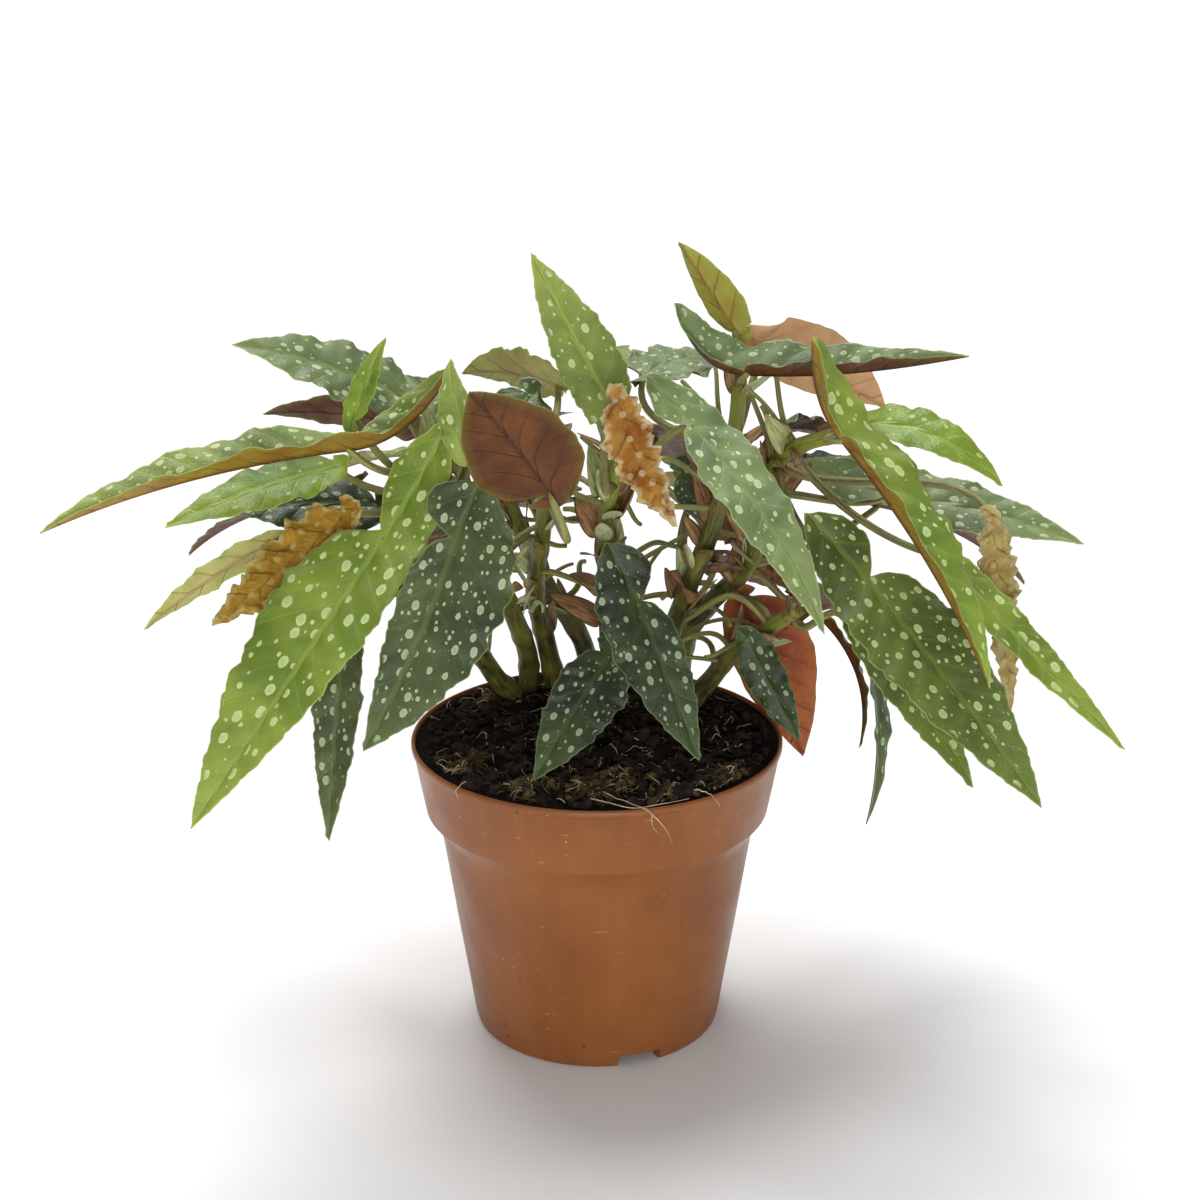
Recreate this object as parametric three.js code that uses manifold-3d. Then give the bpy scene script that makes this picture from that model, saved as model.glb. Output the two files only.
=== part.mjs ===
// Potted begonia: an angel-wing begonia with white-spotted leaves in a 12 cm plastic nursery pot.
// Millimetres, +Z up. The origin is the middle of the pot's base, on the ground. The front is -Y.
// The plant is one rigid assembly of separate pieces: the pot, the peat in it, eight canes that
// stand in sockets in the peat, and leaves that each carry their own stalk.
import * as THREE from 'three';
import { mergeVertices } from 'three/addons/utils/BufferGeometryUtils.js';
import Module from 'manifold-3d';

const wasm = await Module();
wasm.setup();
const { Manifold, Mesh } = wasm;

// ---- driving dimensions -------------------------------------------------------------------
const GAP = 0.3; // clearance between pieces that touch in the real plant

const RIM_RADIUS = 60;
const RIM_HEIGHT = 99;
const COLLAR_FOOT_RADIUS = 55.6;
const COLLAR_FOOT_HEIGHT = 76;
const BODY_TOP_RADIUS = 50.9;
const BODY_TOP_HEIGHT = 69;
const BASE_RADIUS = 40.4;
const BASE_ROUNDING = 1.4;
const POT_WALL = 1.4;
const FLOOR_LIFT = 4; // the floor sits this far above the ground, on the foot ring
const FLOOR_THICKNESS = 1.6;
const FOOT_RING_WIDTH = 3;
const FOOT_NOTCH_WIDTH = 14;
const FOOT_NOTCH_HEIGHT = 4.2;
const FOOT_NOTCH_COUNT = 3;
const FOOT_NOTCH_FIRST_ANGLE = -70; // degrees from +X, a little right of the front
const DRAIN_HOLE_RADIUS = 4.5;
const DRAIN_HOLE_COUNT = 6;
const DRAIN_HOLE_CIRCLE = 24;
const POT_SEGMENTS = 36;

const PEAT_EDGE_HEIGHT = 98; // the peat is level with the rim
const PEAT_CROWN_HEIGHT = 101.5;
const PEAT_EDGE_RADIUS = RIM_RADIUS - POT_WALL - 0.75;
const PEAT_ROUGHNESS = 0.7; // height of the lumps on the peat
const PEAT_RINGS = 5;

const CANE_SIDES = 6;
const CANE_BASE_RADIUS = 3.9;
const CANE_TIP_RADIUS = 2.4;
const CANE_FOOT_DEPTH = 10; // length of cane below the surface of the peat
const CANE_STEPS_PER_JOINT = 2;

const STALK_SIDES = 5;
const STALK_STEPS = 4;
const STALK_RADIUS = 1.25;
const BLADE_THICKNESS = 0.8;
const BLADE_MIN_HALF_WIDTH = 0.7;
const NOTCH_HALF_WIDTH = 1.2; // width left beside the midrib at the notch where the stalk joins
const EAR_MIN_LENGTH = 5;
const EAR_INNER_SHARE = 0.55; // width of the ear's inner margin, as a share of its outer margin
const BLADE_CURL = 0.12;
const WIDE_SWELL = [0.6, 0.95]; // rise and fall of the wide side's width from ear to tip
const NARROW_SWELL = [0.42, 0.95]; // the same for the narrow side, from the stalk to the tip
const EAR_STATIONS = [0, 0.4];
const BLADE_STATIONS = [0, 0.14, 0.34, 0.58, 0.82, 1];
const BLADE_COLUMNS = [-1, -0.5, 0, 0.5, 1];
const SMALL_BLADE_COLUMNS = [-1, 0, 1];
const SMALL_BLADE_HALF_WIDTH = 10; // a blade no wider than this takes the plainer section

// ---- colours --------------------------------------------------------------------------------
const LOOKS = {
  bright: '#6f963c',
  dark: '#3a4b3a',
  mid: '#4d6640',
  grey: '#73916b',
  light: '#86a05a',
  young: '#94ab4c',
  rust: '#7d5a3a',
  red: '#a04f3a',
  dry: '#b98a3c',
  cane: '#5f6434',
  peat: '#1d1814',
  pot: '#9a6240',
};
const LEAF_ROUGHNESS = 0.5;
const CANE_ROUGHNESS = 0.6;
const PEAT_SURFACE_ROUGHNESS = 1;
const POT_ROUGHNESS = 0.45;

// ---- the plant's pieces ---------------------------------------------------------------------
// A cane is a curve through points from the peat to its tip.
const CANES = {
  cane_low_left: [
    [-28, 31, 100], [-33, 26, 108], [-38, 19, 119], [-45, 4, 133],
    [-54, -12, 148], [-59, -22, 163],
  ],
  cane_left: [
    [-23, 37, 100], [-23, 28, 116], [-27, 12, 136], [-33, -4, 160],
    [-40, -14, 179], [-52, -26, 204],
  ],
  cane_middle_left: [
    [-14, 38, 100], [-17, 30, 120], [-20, 18, 142], [-17, 6, 167],
    [-15, 0, 195], [-14, 0, 205],
  ],
  cane_back_left: [
    [-2, 40, 100], [-5, 36, 118], [-12, 36, 130], [-20, 38, 143],
    [-30, 44, 167], [-35, 46, 181],
  ],
  cane_middle: [
    [6, 28, 100], [4, 12, 127], [3, -4, 157], [3, -12, 177],
    [6, -18, 193], [8, -22, 206],
  ],
  cane_right_tall: [
    [18, 36, 100], [22, 24, 119], [29, 10, 145], [38, -2, 176],
    [43, -2, 205], [44, 5, 220],
  ],
  cane_low_right: [
    [32, 26, 100], [38, 22, 110], [44, 16, 121], [53, 8, 131],
    [63, -6, 144],
  ],
  cane_right: [
    [28, 42, 100], [30, 38, 118], [36, 32, 131], [50, 18, 153],
    [52, -6, 188], [61, -22, 202], [70, -35, 209],
  ],
};

// A leaf: the cane and how far along it the stalk starts, the point where the stalk meets the
// blade, the tip, the end of the ear, the way the upper side faces, the half widths of the narrow
// and the wide side, the fold along the midrib in degrees, the arch and the sideways bend as
// shares of the blade's length, and the side that carries the ear (1 left, -1 right).
const LEAVES = [
  ['leaf_front_left_bright', 'cane_left', 0.8, [-61, -60, 186], [-113, -108, 116], [-42, -50, 218],
    [-0.2, -0.75, 0.6], 19, 14, 10, 0.04, 0.02, 1, 'bright'],
  ['leaf_front_left_dark', 'cane_left', 0.66, [-40, -70, 188], [-65, -100, 136], [-33, -62, 203],
    [0, -0.9, 0.45], 10, 20, 8, 0.03, 0.03, 1, 'dark'],
  ['leaf_front_small_dark', 'cane_middle', 0.2, [4, -25, 136], [-19, -50, 105], [8, -24, 141],
    [-0.1, -0.8, 0.6], 10, 12, 8, 0.04, 0, 1, 'dark'],
  ['leaf_front_middle_dark', 'cane_middle', 0.5, [12, -50, 162], [30, -72, 121], [3, -45, 179],
    [0.1, -0.9, 0.45], 8, 13, 8, 0.03, 0, -1, 'dark'],
  ['leaf_front_grey', 'cane_middle', 0.93, [27, -55, 218], [63, -95, 169], [14, -50, 231],
    [0.25, -0.8, 0.55], 9, 10, 8, 0.04, 0.03, 1, 'grey'],
  ['leaf_top_right_folded', 'cane_right_tall', 0.96, [45, -10, 222], [109, -30, 232], [24, 0, 241],
    [0, -0.1, 1], 11, 12, 40, -0.03, 0, 1, 'grey'],
  ['leaf_top_right_underside', 'cane_right_tall', 0.86, [53, 25, 220], [94, 40, 198], [47, 27, 228],
    [0.2, 0.95, 0.1], 8, 16, 5, 0.03, 0, -1, 'rust'],
  ['leaf_top_bud_right', 'cane_right_tall', 1, [43, 8, 230], [25, 8, 258], [46, 8, 231],
    [0.5, 0.8, 0.1], 7, 8, 25, 0, 0, 1, 'young'],
  ['leaf_top_upright', 'cane_middle', 1, [5, -30, 215], [-19, -30, 262], [2, -30, 203],
    [-0.1, -0.95, 0.2], 10.5, 9, 12, 0.03, 0, 1, 'light'],
  ['leaf_dry_middle', 'cane_middle', 0.86, [6, -64, 227], [23, -70, 192], [7, -64, 232],
    [0, -1, 0.1], 7, 7, 0, 0, -0.06, 1, 'dry'],
  ['leaf_top_left_grey', 'cane_left', 0.9, [-60, -4, 213], [-108, -20, 233], [-46, 2, 215],
    [0, -0.5, 0.85], 13, 13, 8, 0.05, 0, -1, 'grey'],
  ['leaf_far_left_folded', 'cane_left', 0.97, [-72, -44, 208], [-154, -84, 195], [-43, -30, 229],
    [0, 0, 1], 12, 13, 38, 0.04, 0, 1, 'light'],
  ['leaf_left_bud', 'cane_left', 0.93, [-71, -39, 215], [-61, -38, 239], [-71, -39, 214],
    [-0.6, -0.8, 0.2], 5, 5, 20, 0, 0, 1, 'young'],
  ['leaf_left_young', 'cane_left', 0.88, [-77, -33, 199], [-123, -64, 190], [-76, -33, 200],
    [0, -0.5, 0.85], 9, 9, 5, 0.04, 0, 1, 'young'],
  ['leaf_left_back_dark', 'cane_left', 0.76, [-68, -10, 180], [-111, -25, 183], [-67, -10, 181],
    [0, -0.6, 0.8], 10, 12, 5, 0.04, 0, 1, 'dark'],
  ['leaf_left_narrow', 'cane_low_left', 0.9, [-96, -35, 177], [-135, -45, 152], [-94, -35, 178],
    [0.1, 0.75, 0.6], 6, 6, 10, 0.04, 0, 1, 'light'],
  ['leaf_left_dry', 'cane_left', 0.85, [-73, -50, 190], [-110, -72, 163], [-72, -50, 191],
    [-0.1, -0.8, 0.5], 9, 10, 5, 0, 0, 1, 'dry'],
  ['leaf_left_hanging', 'cane_low_left', 1, [-75, -40, 153], [-80, -65, 92], [-73, -40, 157],
    [-0.3, -0.9, 0.2], 8, 8, 15, 0.02, 0, 1, 'dark'],
  ['leaf_middle_underside', 'cane_middle_left', 0.85, [-13, -70, 202], [-34, -92, 237], [-12, -70, 200],
    [0.3, 0.85, -0.4], 16, 16, 8, 0.03, 0, 1, 'rust'],
  ['leaf_middle_upright', 'cane_left', 0.88, [-38, -60, 212], [-41, -60, 238], [-37, -60, 211],
    [-0.5, -0.8, 0], 6, 7, 10, 0, 0, 1, 'light'],
  ['leaf_top_back_left', 'cane_middle_left', 0.97, [-12, 25, 209], [-44, 45, 208], [-10, 25, 209],
    [0, 0.8, 0.5], 11, 12, 10, 0.08, 0, 1, 'light'],
  ['leaf_middle_teal', 'cane_middle_left', 1, [-20, -15, 216], [-37, -40, 200], [-18, -15, 218],
    [0, -0.8, 0.6], 10, 11, 5, 0.05, 0, 1, 'mid'],
  ['leaf_top_back_right', 'cane_right_tall', 0.82, [15, 20, 214], [42, 60, 210], [14, 20, 213],
    [0, -0.2, 1], 14, 14, 5, 0.05, 0, 1, 'grey'],
  ['leaf_right_folded', 'cane_right', 1, [70, -60, 215], [108, -105, 157], [62, -55, 243],
    [0.65, -0.2, 0.75], 12, 15, 34, 0.04, 0, 1, 'bright'],
  ['leaf_right_young', 'cane_right', 0.97, [77, -40, 214], [116, -60, 201], [76, -40, 213],
    [0, -0.6, 0.8], 7, 8, 10, 0.18, 0, 1, 'young'],
  ['leaf_right_dark', 'cane_right', 0.68, [92, 5, 179], [150, -15, 169], [66, 10, 188],
    [0, -0.6, 0.8], 9, 11, 8, 0.04, 0, 1, 'grey'],
  ['leaf_right_dry', 'cane_right', 0.8, [117, -38, 184], [125, -46, 126], [116, -38, 185],
    [0, -1, 0.1], 5, 6, 0, 0, 0, 1, 'dry'],
  ['leaf_far_right', 'cane_right', 0.86, [102, -50, 177], [152, -80, 128], [100, -50, 178],
    [0.3, -0.7, 0.6], 6.5, 6.5, 15, 0.03, -0.035, 1, 'bright'],
  ['leaf_front_right_big', 'cane_right', 0.8, [77, -70, 176], [121, -120, 128], [60, -60, 193],
    [0.1, -0.85, 0.5], 14, 14, 8, 0.03, 0, -1, 'dark'],
  ['leaf_front_right_low', 'cane_right', 0.55, [76, -40, 159], [109, -80, 116], [74, -40, 163],
    [0, -0.85, 0.5], 8, 9, 8, 0.03, 0, 1, 'dark'],
  ['leaf_right_edge_on', 'cane_low_right', 0.95, [80, -25, 149], [83, -45, 88], [79, -25, 151],
    [0.9, -0.5, 0], 7, 7, 20, 0.08, 0, 1, 'rust'],
  ['leaf_right_curved', 'cane_low_right', 0.98, [68, -2, 143], [83, -20, 103], [67, -2, 144],
    [0.7, 0.2, 0.6], 7, 7, 20, 0.15, 0, 1, 'rust'],
  ['leaf_right_red', 'cane_low_right', 0.75, [48, 30, 135], [69, 22, 82], [46, 31, 138],
    [0.3, 0.9, -0.2], 17, 12, 8, 0.03, 0, 1, 'red'],
  ['leaf_right_small', 'cane_low_right', 0.62, [48, 0, 132], [65, -8, 100], [47, 0, 133],
    [-0.3, -0.9, 0.3], 7, 7, 8, 0.03, 0, 1, 'dark'],
  ['leaf_back_right_high', 'cane_right_tall', 0.7, [49, 55, 182], [84, 85, 175], [48, 55, 182],
    [0, 0.6, 0.8], 12, 12, 8, 0.1, 0, 1, 'rust'],
  ['leaf_back_left_high', 'cane_back_left', 1, [-53, 25, 194], [-108, 35, 197], [-51, 25, 194],
    [0, 0.75, 0.6], 10, 10, 8, 0.06, 0, 1, 'rust'],
  ['leaf_back_left_low', 'cane_back_left', 0.75, [-52, 35, 164], [-86, 60, 149], [-50, 35, 165],
    [0, 0.6, 0.8], 12, 12, 8, 0.08, 0, 1, 'rust'],
  ['leaf_inner_right', 'cane_right_tall', 0.3, [40, 50, 142], [63, 80, 121], [38, 50, 143],
    [0.1, 0.85, 0.5], 13, 13, 8, 0.08, 0, 1, 'rust'],
  ['leaf_back_right_low', 'cane_right', 0.42, [68, 40, 133], [100, 80, 107], [66, 40, 134],
    [0.2, 0.85, 0.5], 13, 13, 8, 0.08, 0, 1, 'rust'],
  ['leaf_inner_withered', 'cane_right_tall', 0.4, [34, 34, 169], [67, 30, 134], [32, 34, 171],
    [0, -1, 0.1], 7, 7, 5, 0.04, 0.06, 1, 'dry'],
  ['leaf_inner_dark', 'cane_right_tall', 0.76, [28, 10, 185], [39, 4, 167], [28, 10, 186],
    [-0.2, -0.9, 0.4], 7, 7, 12, 0.06, 0, 1, 'dark'],
  ['leaf_back_a', 'cane_back_left', 0.92, [-22, 58, 188], [-48, 118, 150], [-14, 40, 196],
    [-0.2, 0.6, 0.8], 13, 17, 10, 0.06, 0, 1, 'dark'],
  ['leaf_back_b', 'cane_right_tall', 0.6, [20, 62, 182], [34, 118, 148], [10, 44, 190],
    [0.1, 0.6, 0.8], 13, 18, 10, 0.06, 0, -1, 'mid'],
  ['leaf_back_c', 'cane_back_left', 0.97, [-60, 56, 178], [-112, 104, 146], [-46, 48, 186],
    [-0.4, 0.5, 0.8], 13, 16, 10, 0.06, 0, 1, 'bright'],
  ['leaf_back_d', 'cane_right', 0.5, [66, 56, 175], [118, 100, 152], [52, 46, 181],
    [0.4, 0.5, 0.8], 13, 17, 10, 0.06, 0, -1, 'dark'],
  ['leaf_back_e', 'cane_right', 0.45, [92, 30, 168], [148, 66, 128], [78, 22, 178],
    [0.5, 0.3, 0.8], 12, 15, 10, 0.06, 0, 1, 'grey'],
  ['leaf_back_f', 'cane_low_left', 0.85, [-88, 26, 172], [-140, 62, 140], [-74, 20, 182],
    [-0.5, 0.3, 0.8], 12, 15, 10, 0.06, 0, -1, 'dark'],
  ['leaf_back_g', 'cane_middle', 0.9, [0, 36, 210], [4, 104, 200], [-4, 18, 214],
    [0, 0.3, 1], 10, 13, 10, 0.06, 0, 1, 'light'],
  ['leaf_back_h', 'cane_back_left', 0.6, [-24, 70, 158], [-70, 108, 118], [-16, 60, 168],
    [-0.3, 0.7, 0.6], 12, 15, 10, 0.06, 0, 1, 'grey'],
  ['leaf_back_i', 'cane_right', 0.2, [34, 72, 160], [74, 112, 122], [26, 62, 170],
    [0.3, 0.7, 0.6], 12, 15, 10, 0.06, 0, -1, 'bright'],
];

// ---- small tools ----------------------------------------------------------------------------
const vec = (p) => new THREE.Vector3(p[0], p[1], p[2]);

function solidOf(geometry) {
  const g = geometry.clone();
  g.deleteAttribute('normal');
  g.deleteAttribute('uv');
  const merged = mergeVertices(g, 1e-4);
  return new Manifold(new Mesh({
    numProp: 3,
    vertProperties: new Float32Array(merged.attributes.position.array),
    triVerts: new Uint32Array(merged.index.array),
  }));
}

function geometryOf(solid) {
  const mesh = solid.getMesh();
  const g = new THREE.BufferGeometry();
  g.setAttribute('position', new THREE.BufferAttribute(new Float32Array(mesh.vertProperties), 3));
  g.setIndex(new THREE.BufferAttribute(new Uint32Array(mesh.triVerts), 1));
  g.computeVertexNormals();
  return g;
}

// A closed skin over rings of points: every ring has the same number of points, in the same order.
function skin(rings) {
  const count = rings[0].length;
  const position = [];
  for (const ring of rings) {
    for (const p of ring) {
      position.push(p.x, p.y, p.z);
    }
  }
  const index = [];
  for (let i = 0; i + 1 < rings.length; i += 1) {
    for (let j = 0; j < count; j += 1) {
      const a = i * count + j;
      const b = i * count + ((j + 1) % count);
      index.push(a, b, b + count);
      index.push(a, b + count, a + count);
    }
  }
  const last = (rings.length - 1) * count;
  for (let j = 1; j + 1 < count; j += 1) {
    index.push(0, j + 1, j);
    index.push(last, last + j, last + j + 1);
  }
  const g = new THREE.BufferGeometry();
  g.setAttribute('position', new THREE.Float32BufferAttribute(position, 3));
  g.setIndex(index);
  return g;
}

// A round bar along a curve. radiusAt gives its radius from the curve's start (0) to its end (1).
function bar(curve, steps, sides, radiusAt) {
  const frames = curve.computeFrenetFrames(steps, false);
  const rings = [];
  for (let i = 0; i <= steps; i += 1) {
    const centre = curve.getPointAt(i / steps);
    const ring = [];
    for (let j = 0; j < sides; j += 1) {
      const angle = (2 * Math.PI * j) / sides;
      const r = radiusAt(i / steps);
      const p = centre.clone();
      p.addScaledVector(frames.normals[i], Math.cos(angle) * r);
      p.addScaledVector(frames.binormals[i], Math.sin(angle) * r);
      ring.push(p);
    }
    rings.push(ring);
  }
  return skin(rings);
}

// ---- canes ----------------------------------------------------------------------------------
function caneCurve(points) {
  const foot = vec(points[0]);
  foot.z -= CANE_FOOT_DEPTH;
  return new THREE.CatmullRomCurve3([foot, ...points.map(vec)], false, 'centripetal');
}

const caneRadius = (t) => THREE.MathUtils.lerp(CANE_BASE_RADIUS, CANE_TIP_RADIUS, t);

function caneSolid(curve, extra) {
  const steps = CANE_STEPS_PER_JOINT * (curve.points.length - 1);
  return solidOf(bar(curve, steps, CANE_SIDES, (t) => caneRadius(t) + extra));
}

// ---- leaves ---------------------------------------------------------------------------------
// A rise from 0 and fall back to 0 over q in 0..1, with its top value at 1.
function swell(q, rise, fall) {
  const top = rise / (rise + fall);
  return ((q / top) ** rise) * (((1 - q) / (1 - top)) ** fall);
}

function bladeFrame(leaf) {
  const chord = leaf.tip.clone().sub(leaf.joint);
  const length = chord.length();
  const along = chord.clone().normalize();
  const up = leaf.facing.clone().addScaledVector(along, -leaf.facing.dot(along)).normalize();
  const left = new THREE.Vector3().crossVectors(up, along);
  const bend = up.clone().multiplyScalar(leaf.arch).addScaledVector(left, leaf.sway);
  const start = chord.clone().addScaledVector(bend, 4 * length).normalize();
  return { chord, length, up, bend, start };
}

function midribPoint(leaf, frame, s, earLength) {
  if (s >= 0) {
    const p = leaf.joint.clone().addScaledVector(frame.chord, s);
    return p.addScaledVector(frame.bend, 4 * frame.length * s * (1 - s));
  }
  const q = (-s * frame.length) / earLength;
  const turn = leaf.joint.clone().addScaledVector(frame.start, -earLength * 0.5);
  return new THREE.QuadraticBezierCurve3(leaf.joint, turn, leaf.ear).getPoint(q);
}

function bladeGeometry(leaf) {
  const frame = bladeFrame(leaf);
  const direction = leaf.ear.clone().sub(leaf.joint);
  if (direction.length() < EAR_MIN_LENGTH) {
    leaf.ear.copy(leaf.joint).addScaledVector(direction.normalize(), EAR_MIN_LENGTH);
  }
  const earLength = leaf.ear.distanceTo(leaf.joint);
  const earShare = earLength / frame.length;
  const stations = [...EAR_STATIONS.map((t) => (t - 1) * earShare), ...BLADE_STATIONS];
  const step = 1e-3;
  const fold = THREE.MathUtils.degToRad(leaf.fold);
  const columns = leaf.wide > SMALL_BLADE_HALF_WIDTH ? BLADE_COLUMNS : SMALL_BLADE_COLUMNS;
  const rings = [];
  for (const s of stations) {
    const centre = midribPoint(leaf, frame, s, earLength);
    const ahead = midribPoint(leaf, frame, Math.min(1, s + step), earLength);
    const behind = midribPoint(leaf, frame, Math.max(-earShare, s - step), earLength);
    const tangent = ahead.sub(behind).normalize();
    const left = new THREE.Vector3().crossVectors(frame.up, tangent).normalize();
    const up = new THREE.Vector3().crossVectors(tangent, left);
    const wide = leaf.wide * swell((s + earShare) / (1 + earShare), ...WIDE_SWELL);
    let narrow = Math.max(leaf.narrow * swell(Math.max(0, s), ...NARROW_SWELL), NOTCH_HALF_WIDTH);
    if (s < 0) {
      narrow = NOTCH_HALF_WIDTH + leaf.wide * EAR_INNER_SHARE * Math.sin((Math.PI * -s) / earShare);
    }
    if (s === 1 || s === stations[0]) {
      narrow = BLADE_MIN_HALF_WIDTH;
    }
    const upper = [];
    const lower = [];
    for (const column of columns) {
      const half = column > 0 ? Math.max(wide, BLADE_MIN_HALF_WIDTH) : narrow;
      const reach = Math.abs(column) * half;
      const lift = Math.sin(fold) * reach - (BLADE_CURL * reach * reach) / Math.max(leaf.wide, leaf.narrow);
      const p = centre.clone();
      p.addScaledVector(left, leaf.earSide * column * half * Math.cos(fold));
      p.addScaledVector(up, lift);
      upper.push(p.clone().addScaledVector(up, BLADE_THICKNESS / 2));
      lower.unshift(p.clone().addScaledVector(up, -BLADE_THICKNESS / 2));
    }
    const ring = [...upper, ...lower];
    if (leaf.earSide < 0) {
      ring.reverse();
    }
    rings.push(ring);
  }
  return { geometry: skin(rings.reverse()), frame };
}

// The stalk leaves its cane sideways, rises a little and meets the blade from below.
function stalkCurve(leaf, frame, cane) {
  const heart = cane.getPointAt(leaf.at);
  const heading = cane.getTangentAt(leaf.at);
  const out = leaf.joint.clone().sub(heart);
  if (leaf.at < 1) {
    out.addScaledVector(heading, -out.dot(heading));
  }
  out.normalize();
  const start = heart.clone().addScaledVector(out, caneRadius(leaf.at) + GAP);
  const end = leaf.joint.clone().addScaledVector(frame.start, 1);
  const span = start.distanceTo(end);
  const lean = start.clone().addScaledVector(out, span * 0.3);
  const approach = leaf.joint.clone();
  approach.addScaledVector(frame.start, -span * 0.25);
  approach.addScaledVector(frame.up, -span * 0.35);
  return new THREE.CubicBezierCurve3(start, lean, approach, end);
}

// ---- pot and peat ---------------------------------------------------------------------------
function outerProfile() {
  return [
    [BASE_RADIUS - BASE_ROUNDING, 0],
    [BASE_RADIUS, BASE_ROUNDING],
    [BODY_TOP_RADIUS, BODY_TOP_HEIGHT],
    [BODY_TOP_RADIUS + 1.2, BODY_TOP_HEIGHT + 1.4],
    [COLLAR_FOOT_RADIUS - 0.6, COLLAR_FOOT_HEIGHT - 1.6],
    [COLLAR_FOOT_RADIUS, COLLAR_FOOT_HEIGHT],
    [RIM_RADIUS - 0.7, RIM_HEIGHT - 2.6],
    [RIM_RADIUS, RIM_HEIGHT - 1.8],
    [RIM_RADIUS, RIM_HEIGHT - 0.5],
    [RIM_RADIUS - 0.5, RIM_HEIGHT],
  ];
}

function innerProfile() {
  return [
    [BASE_RADIUS - POT_WALL + 1, FLOOR_LIFT + FLOOR_THICKNESS],
    [BODY_TOP_RADIUS - POT_WALL, BODY_TOP_HEIGHT],
    [COLLAR_FOOT_RADIUS - POT_WALL, COLLAR_FOOT_HEIGHT],
    [RIM_RADIUS - POT_WALL - 0.7, RIM_HEIGHT - 2.6],
    [RIM_RADIUS - POT_WALL, RIM_HEIGHT],
  ];
}

function lathe(points, segments) {
  return new THREE.LatheGeometry(points.map((p) => new THREE.Vector2(p[0], p[1])), segments);
}

// A lathe turns about Y, so the result is stood up to turn about Z.
function upright(geometry) {
  geometry.rotateX(Math.PI / 2);
  return geometry;
}

function potSolid() {
  const inside = innerProfile();
  const ringInner = BASE_RADIUS - BASE_ROUNDING - FOOT_RING_WIDTH;
  const profile = [
    [0, FLOOR_LIFT],
    [ringInner, FLOOR_LIFT],
    [ringInner, 0],
    ...outerProfile(),
    ...inside.reverse(),
    [0, FLOOR_LIFT + FLOOR_THICKNESS],
  ];
  let pot = solidOf(upright(lathe(profile, POT_SEGMENTS)));
  for (let i = 0; i < FOOT_NOTCH_COUNT; i += 1) {
    const angle = THREE.MathUtils.degToRad(FOOT_NOTCH_FIRST_ANGLE + (360 * i) / FOOT_NOTCH_COUNT);
    const notch = new THREE.BoxGeometry(FOOT_NOTCH_WIDTH, FOOT_NOTCH_WIDTH, 2 * FOOT_NOTCH_HEIGHT);
    notch.rotateZ(angle);
    notch.translate(BASE_RADIUS * Math.cos(angle), BASE_RADIUS * Math.sin(angle), 0);
    pot = pot.subtract(solidOf(notch));
  }
  for (let i = 0; i < DRAIN_HOLE_COUNT; i += 1) {
    const angle = (2 * Math.PI * i) / DRAIN_HOLE_COUNT;
    const hole = new THREE.CylinderGeometry(DRAIN_HOLE_RADIUS, DRAIN_HOLE_RADIUS, 4 * FLOOR_THICKNESS, 10);
    hole.rotateX(Math.PI / 2);
    hole.translate(DRAIN_HOLE_CIRCLE * Math.cos(angle), DRAIN_HOLE_CIRCLE * Math.sin(angle), FLOOR_LIFT);
    pot = pot.subtract(solidOf(hole));
  }
  return pot;
}

function peatSolid(curves) {
  const wall = innerProfile().slice(0, 4).map((p) => [p[0] - GAP * 1.5, p[1]]);
  wall[0][1] += GAP;
  const top = [];
  for (let i = 0; i < PEAT_RINGS; i += 1) {
    const t = i / PEAT_RINGS;
    const radius = PEAT_EDGE_RADIUS * (1 - t);
    const height = THREE.MathUtils.lerp(PEAT_EDGE_HEIGHT, PEAT_CROWN_HEIGHT, Math.sin((t * Math.PI) / 2));
    top.push([radius, height]);
  }
  const profile = [[0, wall[0][1]], ...wall, ...top, [0, PEAT_CROWN_HEIGHT]];
  const geometry = upright(lathe(profile, POT_SEGMENTS));
  const position = geometry.attributes.position;
  const crownLimit = RIM_RADIUS - POT_WALL - 5;
  for (let i = 0; i < position.count; i += 1) {
    const x = position.getX(i);
    const y = position.getY(i);
    if (position.getZ(i) > PEAT_EDGE_HEIGHT && Math.hypot(x, y) < crownLimit) {
      const lump = Math.sin(x * 0.21 + 1.3) * Math.cos(y * 0.26 - 0.4) + Math.sin((x - y) * 0.37);
      position.setZ(i, position.getZ(i) + PEAT_ROUGHNESS * lump);
    }
  }
  let peat = solidOf(geometry);
  for (const curve of curves) {
    peat = peat.subtract(caneSolid(curve, GAP));
  }
  return peat;
}

// ---- assembly -------------------------------------------------------------------------------
const plant = new THREE.Group();
plant.name = 'potted_begonia';

function addPiece(name, solid, look, roughness) {
  const material = new THREE.MeshStandardMaterial({ color: LOOKS[look], roughness, metalness: 0 });
  const mesh = new THREE.Mesh(geometryOf(solid), material);
  mesh.name = name;
  plant.add(mesh);
}

const curves = {};
for (const [name, points] of Object.entries(CANES)) {
  curves[name] = caneCurve(points);
}

addPiece('pot', potSolid(), 'pot', POT_ROUGHNESS);
addPiece('peat', peatSolid(Object.values(curves)), 'peat', PEAT_SURFACE_ROUGHNESS);
for (const [name, curve] of Object.entries(curves)) {
  addPiece(name, caneSolid(curve, 0), 'cane', CANE_ROUGHNESS);
}

for (const row of LEAVES) {
  const [name, cane, at, joint, tip, ear, facing, narrow, wide, fold, arch, sway, earSide, look] = row;
  const leaf = {
    at, joint: vec(joint), tip: vec(tip), ear: vec(ear), facing: vec(facing),
    narrow, wide, fold, arch, sway, earSide,
  };
  const { geometry, frame } = bladeGeometry(leaf);
  const stalk = bar(stalkCurve(leaf, frame, curves[cane]), STALK_STEPS, STALK_SIDES, () => STALK_RADIUS);
  addPiece(name, solidOf(geometry).add(solidOf(stalk)), look, LEAF_ROUGHNESS);
}

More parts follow.
